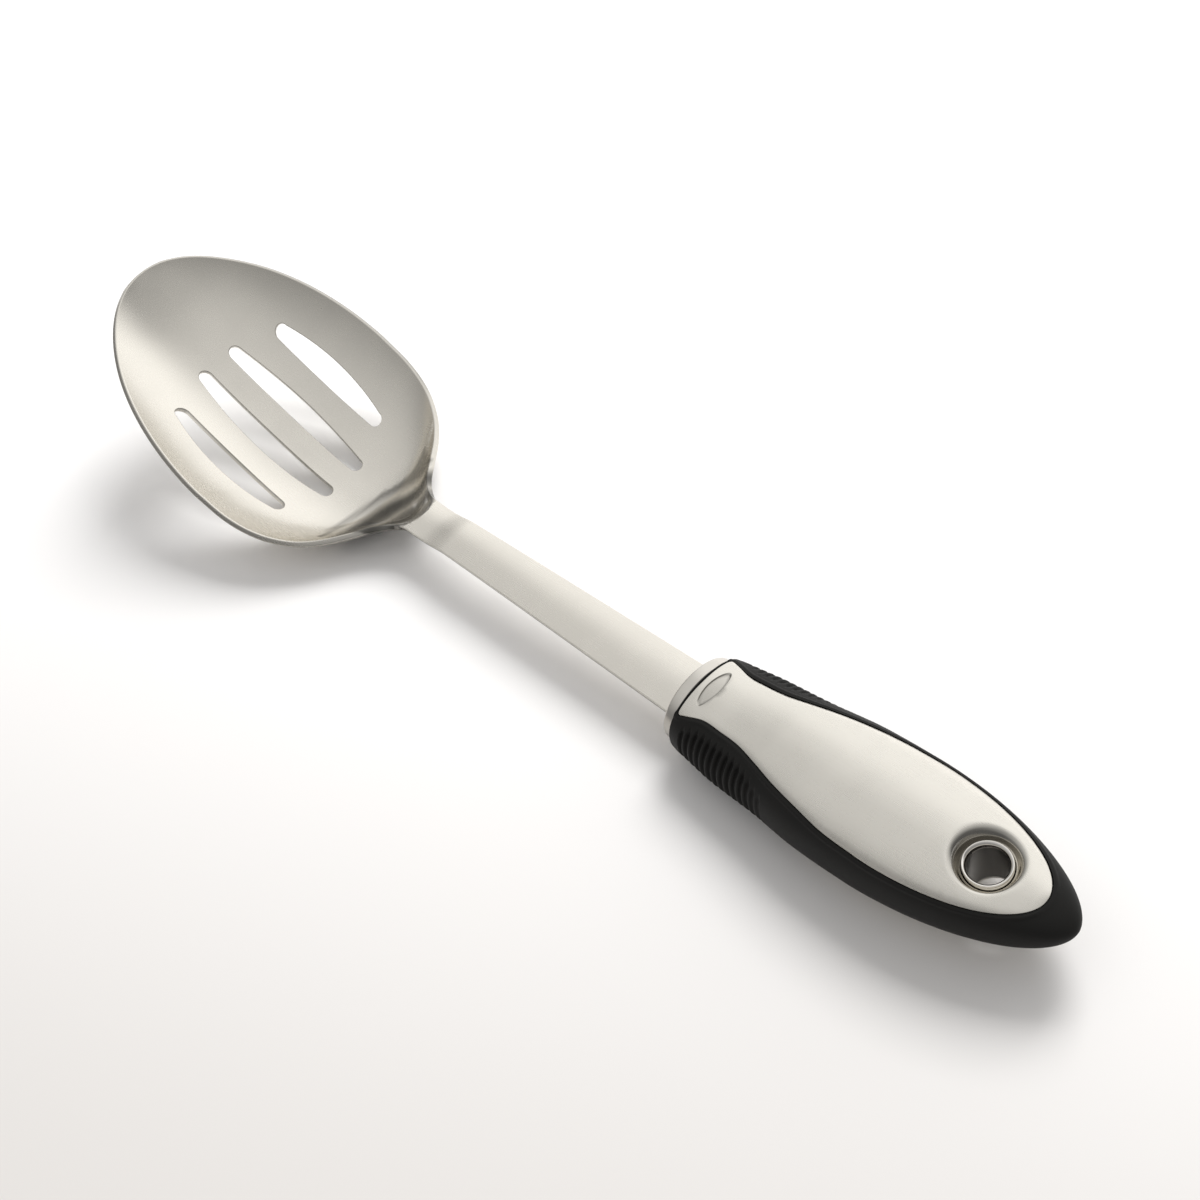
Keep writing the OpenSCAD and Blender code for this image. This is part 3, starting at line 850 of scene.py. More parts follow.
@dataclass
class SpoonBlank:
    """Bowl, neck and shaft, one pressed and slotted sheet.

    Its colour carries painted light and shade: painted reflections on the neck's wall, painted shade on
    the rim and the cut edges, a painted highlight along the neck's far edge, and the bowl's near side
    painted lighter and its far side darker. The zones are the places in millimetres between which a
    painted shade or highlight comes in.
    """

    edge: float = 0.4
    slot_edge: float = 0.22
    under_step: float = 1.2
    slots: tuple[Slot, ...] = (
        Slot(3.6, 21.8, 44.9, 1.9, True), Slot(3.6, 21.8, 44.9, 1.9, False),
        Slot(16.1, 26.9, 35.5, 2.3, True), Slot(16.1, 26.9, 35.5, 2.3, False))
    # Painted shade on the cut edges of the rim and the slots, ring by ring from the upper face down.
    rim_painted_shades: tuple[float, ...] = (1.0, 1.0, 0.85, 0.6, 0.5, 0.5, 0.5, 0.55)
    slot_painted_shades: tuple[float, ...] = (0.75, 0.5, 0.42, 0.5, 0.85, 0.9, 0.9, 0.9)
    wall_start: Knots = Knots((-27, -18.6, -11.6, -3.1, 3.5, 7.8, 12.3, 19.2, 26),
                              (78.5, 77.0, 76.2, 76.4, 77.2, 78.8, 79.9, 79.2, 78.6))
    # Painted reflection streaks, light and dark, across the polished wall of the neck.
    wall_painted_reflection: Knots = Knots(
        (0, 0.9, 1.8, 3.0, 4.4, 6.2, 8.4, 10.4, 11.8, 13.4, 15.6, 17.6, 19.2, 21.5, 24),
        (0.5, 0.42, 0.75, 1.0, 0.62, 0.24, 0.2, 0.36, 0.62, 0.4, 0.22, 0.3, 0.46, 0.32, 0.25))
    wall_lean: Span = (0.38, 0.1)
    wall_lean_run: float = 6.0
    wall_start_blur: Span = (-0.5, 0.5)
    wall_end_blur: Span = (-0.2, 0.3)
    crease_place: float = 100.8
    crease_curve: float = 0.065
    crease_middle: float = 0.6
    # Painted shade on the rim near the neck.
    rim_painted_shade: float = 0.3
    rim_polish: float = 0.5
    rim_band: Span = (0.9, 0.97)
    rim_zone: Span = (58.0, 78.0)
    bowl_zone: Span = (84.0, 72.0)
    # Painted light on the bowl's near side and painted shade on its far side.
    near_painted_light: float = 0.1
    near_zone: Span = (2.0, 16.0)
    far_painted_shade: float = 0.12
    far_zone: Span = (6.0, 22.0)
    # Painted shade on the shaft's near edge and a painted highlight on the neck's far edge.
    shaft_edge_painted_shade: float = 0.42
    shaft_edge_zone: Span = (100.0, 108.0)
    neck_edge_painted_highlight: float = 0.8
    neck_edge_zones: tuple[Span, Span] = ((66.0, 74.0), (100.0, 97.0))

    def crease(self, y: np.ndarray) -> np.ndarray:
        """Returns where the neck's wall meets the shaft, for each y."""
        return self.crease_place - self.crease_curve * (y - self.crease_middle) ** 2

    def face_painted_shading(self, s: np.ndarray, y: np.ndarray) -> tuple[np.ndarray, np.ndarray]:
        """Works out the painted light and shade of the faces: painted reflections on the neck's wall,
        painted shade on the rim, and the bowl's near side painted lighter and its far side darker.

        Args:
            s: Places along the spoon.
            y: Places across it.

        Returns:
            How light the painted light and shade make each place, and how polished it is.
        """
        start, end = self.wall_start.at(y), self.crease(y)
        past = s - start
        wall = fade(past, *self.wall_start_blur) * fade(end - s, *self.wall_end_blur)
        far_lean, near_lean = self.wall_lean
        lean = far_lean * np.maximum(y, 0) + near_lean * np.minimum(y, 0)
        # Painted reflection streaks on the neck's wall.
        painted_shading = 1 + wall * (self.wall_painted_reflection.at(past - lean * slide(past, 0, self.wall_lean_run)) - 1)
        q = np.abs(y) / BLANK.half(np.clip(s, 0.5, 200))
        rim = fade(q, *self.rim_band) * fade(s, *self.rim_zone) * fade(end - s, 0, 2)
        # Painted shade on the rim, away from the neck's wall.
        painted_shading *= 1 - self.rim_painted_shade * rim * (1 - wall)
        # Painted light on the bowl's near side, painted shade on its far side.
        sides = self.near_painted_light * slide(-y, *self.near_zone) - self.far_painted_shade * slide(y, *self.far_zone)
        painted_shading *= 1 + fade(s, *self.bowl_zone) * sides
        return painted_shading, np.maximum(wall, self.rim_polish * rim)

    def edge_painted_shading(self, s: np.ndarray, y: np.ndarray, loops: Sequence[Loop]) -> np.ndarray:
        """Works out the painted shade and highlight of the cut edges, ring by ring from the upper face
        down.

        Args:
            s: Places along the spoon.
            y: Places across it.
            loops: The outline and the slots, in the order of their points.

        Returns:
            How light each place is.
        """
        tables = [self.rim_painted_shades] + [self.slot_painted_shades] * len(self.slots)
        shades = [np.repeat(table, len(loop)) for table, loop in zip(tables, loops)]
        rim = shades[0]
        along, across = s[:len(rim)], y[:len(rim)]
        # Painted shade along the shaft's near edge and a painted highlight along the neck's far edge.
        near_shaft = fade(along, *self.shaft_edge_zone) * (across < 0) * (rim < 0.9)
        begins, ends = (fade(along, *zone) for zone in self.neck_edge_zones)
        far_neck = begins * ends * (across > 0)
        rim = rim * (1 - self.shaft_edge_painted_shade * near_shaft)
        shades[0] = rim + (1 - rim) * self.neck_edge_painted_highlight * far_neck
        return np.concatenate(shades)

    def dress(self, piece: bpy.types.Object, maker: SheetPiece) -> None:
        """Stores how polished each point is, and its painted light and shade.

        Args:
            piece: The finished blank.
            maker: The sheet that it was made with.
        """
        s, y = spoon_points(piece)[:, :2].T
        painted_shading, polish = self.face_painted_shading(s, y)
        first = maker.face_points
        painted_shading[first:] *= self.edge_painted_shading(s[first:], y[first:], maker.loops)
        set_attribute(piece, "polish", polish)
        set_attribute(piece, "painted_shading", painted_shading)

    def build(self) -> bpy.types.Object:
        """Builds and dresses the blank."""
        maker = SheetPiece("bowl_and_shaft", BLANK.height,
                           [BLANK.outline()] + [slot.outline() for slot in self.slots],
                           BLANK.rows(), BLANK.sheet, self.edge, under_step=self.under_step,
                           hole_edge=self.slot_edge)
        piece = maker.build()
        self.dress(piece, maker)
        finish_piece(piece, SATIN_BOWL.material(), "brushed_steel", "spoon_blank")
        return piece


@dataclass
class Collar:
    """The satin ferrule where the shaft enters the handle."""

    half_width: float = 11.7
    half_height: float = 9.3
    rounding: float = 0.45
    clearance: float = 0.05
    slot_half: Span = (7.85, 1.1)
    slot_power: float = 6.0
    slot_depth: float = 5.0
    funnel: Span = (0.3, 0.25)
    shaft_top: float = 10.8
    shaft_crown: float = 0.9
    shaft_half: float = 8.0
    half_sheet: float = 0.8
    front_shares: tuple[float, ...] = (0.3, 0.6, 0.85)
    spigot_inset: Span = (2.0, 3.2)
    spigot_depth: float = 5.5
    # Painted shade on the collar's near side.
    side_painted_shade: float = 0.42
    side_zone: Span = (0.6, 1.0)
    count: int = 144

    def _angles(self) -> np.ndarray:
        """Returns the angles of a ring's points."""
        return np.radians(np.arange(self.count) * 360 / self.count)

    def ring(self, s: float, inset: float) -> np.ndarray:
        """Makes one oval ring across the handle.

        Args:
            s: The place along the spoon.
            inset: How much smaller than the collar it is.

        Returns:
            The ring's points.
        """
        w = self._angles()
        middle = float(HANDLE.middle(np.array(LAYOUT.handle)))
        return np.column_stack([np.full(self.count, s), (self.half_width - inset) * np.cos(w),
                                middle + (self.half_height - inset) * np.sin(w)])

    def slot_ring(self, s: float, gap: float) -> np.ndarray:
        """Makes one ring round the shaft's section.

        Args:
            s: The place along the spoon.
            gap: How far it stands off the slot's own wall.

        Returns:
            The ring's points.
        """
        w, n = self._angles(), self.slot_power
        c, k = np.cos(w), np.sin(w)
        wide, high = self.slot_half
        reach = (np.abs(c / (wide + gap)) ** n + np.abs(k / (high + gap)) ** n) ** (-1 / n)
        y = reach * c
        top = self.shaft_top + self.shaft_crown * (1 - (y / self.shaft_half) ** 2)
        return np.column_stack([np.full(self.count, s), y, top - self.half_sheet + reach * k])

    def build(self) -> bpy.types.Object:
        """Builds and dresses the collar."""
        s0, s1 = LAYOUT.collar, LAYOUT.handle - self.clearance
        r = self.rounding
        run, mouth = self.funnel
        rings = [self.slot_ring(s0 + self.slot_depth, 0.0), self.slot_ring(s0 + run, 0.0),
                 self.slot_ring(s0, mouth)]
        for share in self.front_shares:
            rings.append((1 - share) * self.slot_ring(s0, mouth) + share * self.ring(s0, r))
        turns = np.radians(np.linspace(0, 90, 7))
        rings += [self.ring(s0 + r * (1 - math.cos(w)), r * (1 - math.sin(w))) for w in turns]
        rings += [self.ring(s1 - r * (1 - math.cos(w)), r * (1 - math.sin(w))) for w in turns[::-1]]
        rings += [self.ring(s1, self.spigot_inset[0]),
                  self.ring(s1 + self.spigot_depth, self.spigot_inset[1])]
        draft = Draft()
        numbers = [draft.add(ring) for ring in rings]
        draft.join_rings(numbers, flip=True)
        draft.faces += [numbers[-1], numbers[0][::-1]]
        piece = draft.make("collar_ring")
        across = np.vstack(rings)[:, 1]
        # Painted shade that darkens the collar's near side.
        side = fade(np.abs(across) / self.half_width, *self.side_zone) * (across < 0)
        set_attribute(piece, "polish", np.zeros(len(across)))
        set_attribute(piece, "painted_shading", 1 - self.side_painted_shade * side)
        finish_piece(piece, SATIN_COLLAR.material(), "satin_steel", "collar")
        return piece


@dataclass
class CoverPlate:
    """A steel cover plate with its dished well, and on top a bare oval recess."""

    side: Side
    thickness: float = 0.9
    edge: float = 0.3
    roll_width: float = 1.5
    roll_drop: float = 0.32
    roll_zone: Span = (203.0, 209.0)
    recess_place: float = 203.4
    recess_half: Span = (1.9, 5.7)
    recess_power: float = 1.7
    recess_depth: float = 0.4
    recess_zone: Span = (1.04, 0.8)
    # Painted shade on the recess's walls and floor.
    recess_painted_shade: float = 0.42
    recess_levels: tuple[float, ...] = (1.04, 0.98, 0.92, 0.86, 0.8, 0.5)
    recess_wall_zones: tuple[Span, Span] = ((1.04, 0.96), (0.74, 0.84))
    recess_wall_shares: Span = (0.75, 1.25)
    recess_floor_painted_shade: float = 0.16
    floor_zone: Span = (1.0, 0.8)
    level_zone: Span = (8.6, 6.2)
    well_zone: Span = (8.9, 7.7)
    # Painted shade in the well, darkest on the side towards the bowl.
    well_shade: float = 0.1
    well_painted_shade: float = 0.5
    well_turn: float = 0.5
    well_contrast: float = 0.7
    well: Knots = Knots((5.8, 6.15, 6.5, 6.9, 7.3, 7.8, 8.3, 8.8, 9.3, 9.8),
                        (3.8, 3.75, 3.4, 2.55, 1.65, 0.85, 0.38, 0.14, 0.03, 0.0))
    well_points: tuple[int, ...] = (72, 72, 72, 80, 80, 88, 88, 88, 88, 80)
    grid: tuple[Triple, Triple] = ((200.2, 299, 1.1), (-15.4, 15.5, 1.1))
    edge_insets: tuple[float, ...] = (0.6, 1.0, 1.5)
    edge_zone: Span = (202.0, 298.6)
    front_points: int = 14
    spacing: float = 0.5

    def rim_distance(self, s: np.ndarray, y: np.ndarray) -> np.ndarray:
        """Works out how far each place is from the nearest part of the plate's outline.

        Args:
            s: Places along the spoon.
            y: Places across it.

        Returns:
            The distances, in millimetres.
        """
        at = HANDLE.cover_stations()
        edge = np.column_stack([at, HANDLE.cover_half(at)])
        edge = np.vstack([[edge[0, 0], 0.0], edge])
        point = np.column_stack([np.ravel(s), np.abs(np.ravel(y))])
        best = np.full(len(point), np.inf)
        for start, along in zip(edge[:-1], edge[1:] - edge[:-1]):
            share = ramp((point - start) @ along / max(along @ along, 1e-12))
            best = np.minimum(best, np.linalg.norm(point - start - share[:, None] * along, axis=1))
        return best.reshape(np.shape(s))

    def recess_share(self, s: np.ndarray, y: np.ndarray) -> np.ndarray:
        """Returns 0 in the middle of the recess and 1 on its outline."""
        a, b = self.recess_half
        return np.abs((s - self.recess_place) / a) ** 2 + np.abs(y / b) ** self.recess_power

    def height(self, s: np.ndarray, y: np.ndarray) -> np.ndarray:
        """Works out the height of the plate's outer face.

        Args:
            s: Places along the spoon.
            y: Places across it.

        Returns:
            The height at each place.
        """
        skin = HANDLE.skin(s, y, self.side)
        out = self.side.value
        r = np.hypot(s - LAYOUT.hole, y)
        crown = float(HANDLE.skin(np.array(LAYOUT.hole), np.array(0.0), self.side))
        flat = crown + HANDLE.slope(LAYOUT.hole, self.side) * (s - LAYOUT.hole)
        level = fade(r, *self.level_zone)
        sunk = skin * (1 - level) + flat * level - out * self.well.at(r)
        result = np.where(r < self.well.places[-1], sunk, skin)
        rolled = ramp(1 - self.rim_distance(s, y) / self.roll_width) ** 2 * fade(s, *self.roll_zone)
        result = result - out * self.roll_drop * rolled
        if self.side is Side.TOP:
            result = result - self.recess_depth * fade(self.recess_share(s, y), *self.recess_zone)
        return result

    def dress(self, piece: bpy.types.Object) -> None:
        """Stores how polished each point is, and the painted shade in the well and the recess.

        Args:
            piece: The finished plate.
        """
        s, y = spoon_points(piece)[:, :2].T
        r = np.hypot(s - LAYOUT.hole, y)
        well = fade(r, *self.well_zone)
        # Painted shade: the well's wall is darker, most on the side towards the bowl.
        facing = (LAYOUT.hole - s + self.well_turn * y) / np.maximum(r, 1)
        front = ramp(facing * self.well_contrast + 0.5)
        painted_shading = 1 - well * (self.well_shade + self.well_painted_shade * front)
        if self.side is Side.TOP:
            # Painted shade on the recess's walls and floor.
            share = self.recess_share(s, y)
            outer, inner = (fade(share, *zone) for zone in self.recess_wall_zones)
            front_wall, back_wall = self.recess_wall_shares
            dark = self.recess_painted_shade * np.where(s > self.recess_place, back_wall, front_wall)
            painted_shading *= 1 - self.recess_floor_painted_shade * fade(share, *self.floor_zone) - dark * (outer * inner)
        set_attribute(piece, "polish", well)
        set_attribute(piece, "painted_shading", painted_shading)

    def _ring(self, r: float, count: int) -> Loop:
        """Returns a clockwise circle round the hanging hole."""
        return [(LAYOUT.hole + r * math.cos(-w), r * math.sin(-w))
                for w in np.linspace(0, 2 * math.pi, count, endpoint=False)]

    def _oval(self, level: float, count: int = 56) -> Loop:
        """Works out one level line of the oval recess.

        Args:
            level: The share that the line lies at.
            count: How many points it has.

        Returns:
            The line's points in order.
        """
        (a, b), n = self.recess_half, self.recess_power
        loop: Loop = []
        for w in np.linspace(0, 2 * math.pi, count, endpoint=False):
            y = b * level ** (1 / n) * math.sin(w)
            x = a * math.sqrt(max(0.0, level - abs(y / b) ** n))
            loop.append((self.recess_place + math.copysign(x, math.cos(w)), y))
        return loop

    def build(self) -> bpy.types.Object:
        """Builds and dresses the plate."""
        s = HANDLE.cover_stations()
        h = HANDLE.cover_half(s)
        outline = both_sides(s, h)
        outline.pop(len(s))
        front = np.linspace(h[0], -h[0], self.front_points + 2)[1:-1]
        outline += [(float(s[0]), float(y)) for y in front]
        points = [(float(a), float(b)) for a in np.arange(*self.grid[0]) for b in np.arange(*self.grid[1])]
        body = s[(s > self.edge_zone[0]) & (s < self.edge_zone[1])][::2]
        for inset in self.edge_insets:
            width = HANDLE.cover_half(body) - inset
            points += [(float(a), float(b) * way) for a, b in zip(body, width) for way in (1, -1) if b > 1]
        hole, *guides = [self._ring(r, n) for r, n in zip(self.well.places, self.well_points)]
        on_top = self.side is Side.TOP
        if on_top:
            guides += [self._oval(level) for level in self.recess_levels]
        name, node = ("top_plate", "top_cover") if on_top else ("under_plate", "bottom_cover")
        maker = SheetPiece(name, self.height, [outline, hole], points, self.thickness, self.edge,
                           self.side, guides, self.spacing)
        piece = maker.build()
        self.dress(piece)
        finish_piece(piece, SATIN_COVER.material(), "satin_steel", node)
        return piece


class FinTree:
    """The Geometry Nodes tree that presses the finger grooves into the grip."""

    INPUTS = (("First groove", (LAYOUT.handle + 4.0 - LAYOUT.middle) * MM), ("Pitch", 0.00205),
              ("Groove width", 0.0011), ("Groove depth", 0.00095), ("Groove count", 14.0),
              ("Edge margin", 0.0021), ("Edge fade", 0.0022), ("Bead height", 0.00016))
    SHALLOW_FROM = 0.7
    SHALLOW_MARGIN = 0.0016
    SHALLOW_LOSS = 0.55
    WALL = (0.35, 1.5)
    BEAD_RISE = (0.0002, 0.0006)
    BEAD_FALL = (0.0009, 0.0014)

    def __init__(self, material: bpy.types.Material) -> None:
        """Builds the tree.

        Args:
            material: The rubber that the grooved grip wears.
        """
        self.tree = bpy.data.node_groups.new("finger fins", "GeometryNodeTree")
        face = self.tree.interface
        face.new_socket("Geometry", in_out="INPUT", socket_type="NodeSocketGeometry")
        self.sockets = {name: face.new_socket(name, in_out="INPUT", socket_type="NodeSocketFloat")
                        for name, _ in self.INPUTS}
        face.new_socket("Geometry", in_out="OUTPUT", socket_type="NodeSocketGeometry")
        board = Board(self.tree)
        given = board.add("NodeGroupInput").outputs
        inward = self._push(board, given)
        normal = board.add("GeometryNodeInputNormal").outputs[0]
        moved = board.add("GeometryNodeSetPosition", {"Geometry": given["Geometry"],
                                                      "Offset": board.scaled(normal, inward)})
        real = board.add("GeometryNodeRealizeInstances", {0: moved.outputs[0]})
        dressed = board.add("GeometryNodeSetMaterial", {"Geometry": real.outputs[0],
                                                        "Material": material})
        board.add("NodeGroupOutput", {0: dressed.outputs[0]})

    def _push(self, board: Board, given: bpy.types.NodeOutputs) -> bpy.types.NodeSocket:
        """Wires up how far each point moves along its normal: in at a groove, out at the bead.

        Args:
            board: The tree that is being wired.
            given: The tree's own inputs.

        Returns:
            The distance, in metres.
        """
        place = board.add("GeometryNodeInputPosition").outputs[0]
        along = board.add("ShaderNodeSeparateXYZ", {0: place}).outputs[0]
        below = board.add("GeometryNodeInputNamedAttribute", {"Name": "edge_distance"},
                          data_type="FLOAT").outputs[0]
        begin = board.math("SUBTRACT", along, given["First groove"])
        run = board.math("ADD", board.math("DIVIDE", begin, given["Pitch"]), 0.5)
        part = board.math("ABSOLUTE", board.math("SUBTRACT", board.math("FRACT", run), 0.5))
        apart = board.math("MULTIPLY", part, given["Pitch"])
        count = given["Groove count"]
        shallow = board.step(run, board.math("MULTIPLY", count, self.SHALLOW_FROM), count)
        margin = board.math("MULTIPLY_ADD", shallow, self.SHALLOW_MARGIN, given["Edge margin"])
        edge = board.step(below, margin, board.math("ADD", margin, given["Edge fade"]))
        half = board.math("MULTIPLY", board.math("MULTIPLY", given["Groove width"], 0.5),
                          board.math("MULTIPLY_ADD", edge, 0.75, 0.25))
        low, high = (board.math("MULTIPLY", half, share) for share in self.WALL)
        cut = board.math("SUBTRACT", 1.0, board.step(apart, low, high))
        begun = board.math("GREATER_THAN", run, 0.0)
        ended = board.math("LESS_THAN", run, count)
        deep = board.math("MULTIPLY_ADD", shallow, -self.SHALLOW_LOSS, 1.0)
        for factor in (begun, ended, deep, edge):
            cut = board.math("MULTIPLY", cut, factor)
        fall = board.math("SUBTRACT", 1.0, board.step(below, *self.BEAD_FALL))
        bead = board.math("MULTIPLY", board.step(below, *self.BEAD_RISE), fall)
        return board.math("MULTIPLY_ADD", board.math("MULTIPLY", cut, given["Groove depth"]), -1.0,
                          board.math("MULTIPLY", bead, given["Bead height"]))

    def press(self, piece: bpy.types.Object) -> None:
        """Applies the tree to a piece and keeps the result as its plain mesh.

        Args:
            piece: The grip, with its distances from the cover edges stored.
        """
        modifier = piece.modifiers.new("finger fins", "NODES")
        modifier.node_group = self.tree
        for name, value in self.INPUTS:
            modifier[self.sockets[name].identifier] = value
        graph = bpy.context.evaluated_depsgraph_get()
        result = bpy.data.meshes.new_from_object(piece.evaluated_get(graph), depsgraph=graph)
        piece.modifiers.clear()
        piece.data = result


@dataclass
class SoftGrip:
    """The black rubber round both sides and the end of the handle, and its thin lip."""

    gap: float = 0.12
    squeeze: float = 0.0008
    rim_steps: tuple[float, ...] = (0, 0.14, 0.3, 0.48, 0.68, 0.9, 1.12, 1.36, 1.64, 2.0, 2.45, 3.0)
    middle_columns: int = 38
    fin_step: float = 0.15
    fin_end: float = 231.6
    body_start: float = 232.0
    splits: int = 8
    wall_steps: tuple[Span, ...] = ((0.05, 0.03), (0.09, 0.12), (0.1, 0.3), (0.1, 1.5))
    lip_round: float = 0.05
    lip_points: int = 40
    lip_wall: float = 1.5
    front_steps: tuple[Span, ...] = ((-0.04, 0.05), (-0.07, 0.2), (-0.07, 0.5), (0.0, 2.5), (3.0, 4.0))

    @property
    def columns(self) -> int:
        """How many points a strip has across."""
        return 2 * len(self.rim_steps) + self.middle_columns


    def _angle(self, s: np.ndarray, y: np.ndarray) -> np.ndarray:
        """Returns the section angle at which the skin is y from the middle line."""
        r = np.minimum(y / np.maximum(HANDLE.half(s), 1e-6), 1)
        return np.arctan2((1 - r**HANDLE.power) ** (1 / HANDLE.power), r)

    def _ring(self, s: float, angles: np.ndarray) -> np.ndarray:
        """Works out skin points across the handle.

        Args:
            s: The place along the spoon.
            angles: The section angles of the points.

        Returns:
            One point a row.
        """
        at = np.array(s)
        n = HANDLE.power
        c, k = np.cos(angles), np.sin(angles)
        reach = (np.abs(c) ** n + np.abs(k) ** n) ** (-1 / n)
        return np.column_stack([np.full(len(angles), s), float(HANDLE.half(at)) * reach * c,
                                float(HANDLE.middle(at)) + float(HANDLE.half_thick(at)) * reach * k])

    def _strip(self, s: float, top: float) -> np.ndarray:
        """Returns one side's skin points at a place, closer together near both cover edges.

        Args:
            s: The place along the spoon.
            top: The section angle of the cover's edge.

        Returns:
            The points, from the top edge round to the under edge.
        """
        fine = self._ring(s, np.linspace(top, -top, 400))
        run = np.concatenate([[0], np.cumsum(np.linalg.norm(np.diff(fine, axis=0), axis=1))])
        whole = run[-1]
        rim = np.array(self.rim_steps) * min(1.0, whole / 12)
        inner = np.linspace(rim[-1], whole - rim[-1], self.middle_columns + 2)[1:-1]
        places = np.concatenate([rim, inner, whole - rim[::-1]])
        return np.column_stack([np.interp(places, run, fine[:, k]) for k in range(3)])

    def _stations(self) -> np.ndarray:
        """Returns places along the grip, very close together where the fins are."""
        start, end = HANDLE.cover_start - self.gap, HANDLE.cover_end + self.gap
        window = HANDLE.cover_stations(self.gap)
        corner = window[window <= start + HANDLE.corner]
        fins = np.arange(start + HANDLE.corner + self.fin_step, self.fin_end, self.fin_step)
        body = window[window > self.body_start]
        tail_angle = math.asin((end - HANDLE.tail) / (LAYOUT.end - HANDLE.tail))
        turns = np.linspace(tail_angle, math.pi / 2, 26)[1:]
        tail = HANDLE.tail + (LAYOUT.end - HANDLE.tail) * np.sin(turns)
        return np.concatenate([np.linspace(LAYOUT.handle, start, 5)[:-1], corner, fins, body, tail])

    def build(self) -> bpy.types.Object:
        """Builds, grooves and dresses the grip."""
        start, end = HANDLE.cover_start - self.gap, HANDLE.cover_end + self.gap
        stations = self._stations()
        held = np.clip(stations, start, end)
        half = np.where(stations >= end - TINY, 0.0, HANDLE.cover_half(held, self.gap))
        strips = []
        for s, top in zip(stations, self._angle(stations, half)):
            strip = self._strip(float(s), float(top))
            strips += [strip, strip * np.array([1.0, -1.0, 1.0])]
        flat = np.vstack(strips)
        below = self._edge_distance(flat, stations <= end + TINY)
        flat[:, 0] -= self.squeeze * np.maximum(flat[:, 0] - HANDLE.tail, 0)
        draft = Draft()
        numbers = np.reshape(draft.add(flat), (len(stations), 2, self.columns)).tolist()
        for here, there in zip(numbers, numbers[1:]):
            for m in range(2):
                draft.join(here[m], there[m], flip=m == 1)
        beside = (stations >= start - TINY) & (stations <= end + TINY)
        self._walls(draft, flat, [row for row, keep in zip(numbers, beside) if keep])
        self._lips(draft)
        self._front_face(draft, flat, numbers[0])
        piece = draft.make("grip_sleeve")
        values = np.zeros(draft.total)
        values[:len(flat)] = below * MM
        set_attribute(piece, "edge_distance", values)
        self._weld(piece)
        rubber = GRIP_RUBBER.material()
        FinTree(rubber).press(piece)
        finish_piece(piece, rubber, "black_rubber", "soft_grip")
        return piece

    def _edge_distance(self, flat: np.ndarray, beside: np.ndarray) -> np.ndarray:
        """Works out how far each skin point is from the nearest cover edge.

        Args:
            flat: The strips' points, station by station.
            beside: Which stations lie beside a cover.

        Returns:
            The distances, in millimetres.
        """
        grid = flat.reshape(len(beside), 2, self.columns, 3)[beside]
        lines = [grid[:, m, column] for m in (0, 1) for column in (0, -1)]
        tree = KDTree(len(lines) * len(grid) * self.splits)
        for line in lines:
            for share in range(self.splits):
                mixed = line + (np.roll(line, -1, axis=0) - line) * share / self.splits
                mixed[-1] = line[-1]
                for point in mixed:
                    tree.insert(point, 0)
        tree.balance()
        return np.array([tree.find(point)[2] for point in flat])

    def _walls(self, draft: Draft, flat: np.ndarray, rows: list[list[list[int]]]) -> None:
        """Adds the rounded walls that go down beside the two covers.

        Args:
            draft: The mesh so far.
            flat: The side strips' points.
            rows: The numbers of the two strips' points at each station beside a cover.
        """
        for column, sign in ((0, 1), (-1, -1)):
            previous = [row[1][column] for row in rows] + [row[0][column] for row in rows[::-1]][1:]
            ring = flat[previous]
            inward = np.zeros_like(ring)
            inward[:, 1] = -np.sign(ring[:, 1])
            drop = np.array([0.0, 0.0, -float(sign)])
            for across, down in self.wall_steps:
                now = draft.add(ring + inward * across + drop * down)
                draft.join(previous, now, flip=sign < 0)
                previous = now

    def _lips(self, draft: Draft) -> None:
        """Adds the thin lip that crosses the handle in front of each cover.

        Args:
            draft: The mesh so far.
        """
        front, start = LAYOUT.handle, HANDLE.cover_start - self.gap
        half = HANDLE.cover_half(np.array(start), self.gap)
        for sign in (1, -1):
            grid = []
            for s in (front, front + 0.06, (front + start) / 2, start - 0.04, start):
                top = float(self._angle(np.array(s), half))
                ring = self._ring(s, np.linspace(top, math.pi - top, self.lip_points) * sign)
                if s in (front, start):
                    ring[:, 2] -= self.lip_round * sign
                grid.append(ring)
            wall = np.array([0.0, 0.0, self.lip_wall * sign])
            numbers = [draft.add(ring) for ring in [grid[0] - wall, *grid, grid[-1] - wall]]
            for one, two in zip(numbers, numbers[1:]):
                draft.join(one, two, flip=sign < 0)

    def _front_face(self, draft: Draft, flat: np.ndarray, edges: list[list[int]]) -> None:
        """Closes the grip's sides towards the collar with a rounded edge.

        Args:
            draft: The mesh so far.
            flat: The side strips' points.
            edges: The numbers of the two strips' points at the first station.
        """
        middle = np.array([LAYOUT.handle, 0.0, float(HANDLE.middle(np.array(LAYOUT.handle)))])
        for m, previous in enumerate(edges):
            ring = flat[previous]
            towards = unit((middle - ring) * np.array([0.0, 1.0, 1.0]))
            for along, inward in self.front_steps:
                now = draft.add(ring + towards * inward + np.array([along, 0.0, 0.0]))
                for a, b, c, d in zip(previous, now, now[1:], previous[1:]):
                    draft.faces.append([a, b, c, d] if m == 0 else [d, c, b, a])
                previous = now

    def _weld(self, piece: bpy.types.Object) -> None:
        """Joins points that lie on one another.

        Args:
            piece: The grip, whose parts still lie loose side by side.
        """
        made = bmesh.new()
        made.from_mesh(piece.data)
        bmesh.ops.remove_doubles(made, verts=made.verts, dist=0.000005)
        bmesh.ops.recalc_face_normals(made, faces=made.faces)
        made.to_mesh(piece.data)
        made.free()


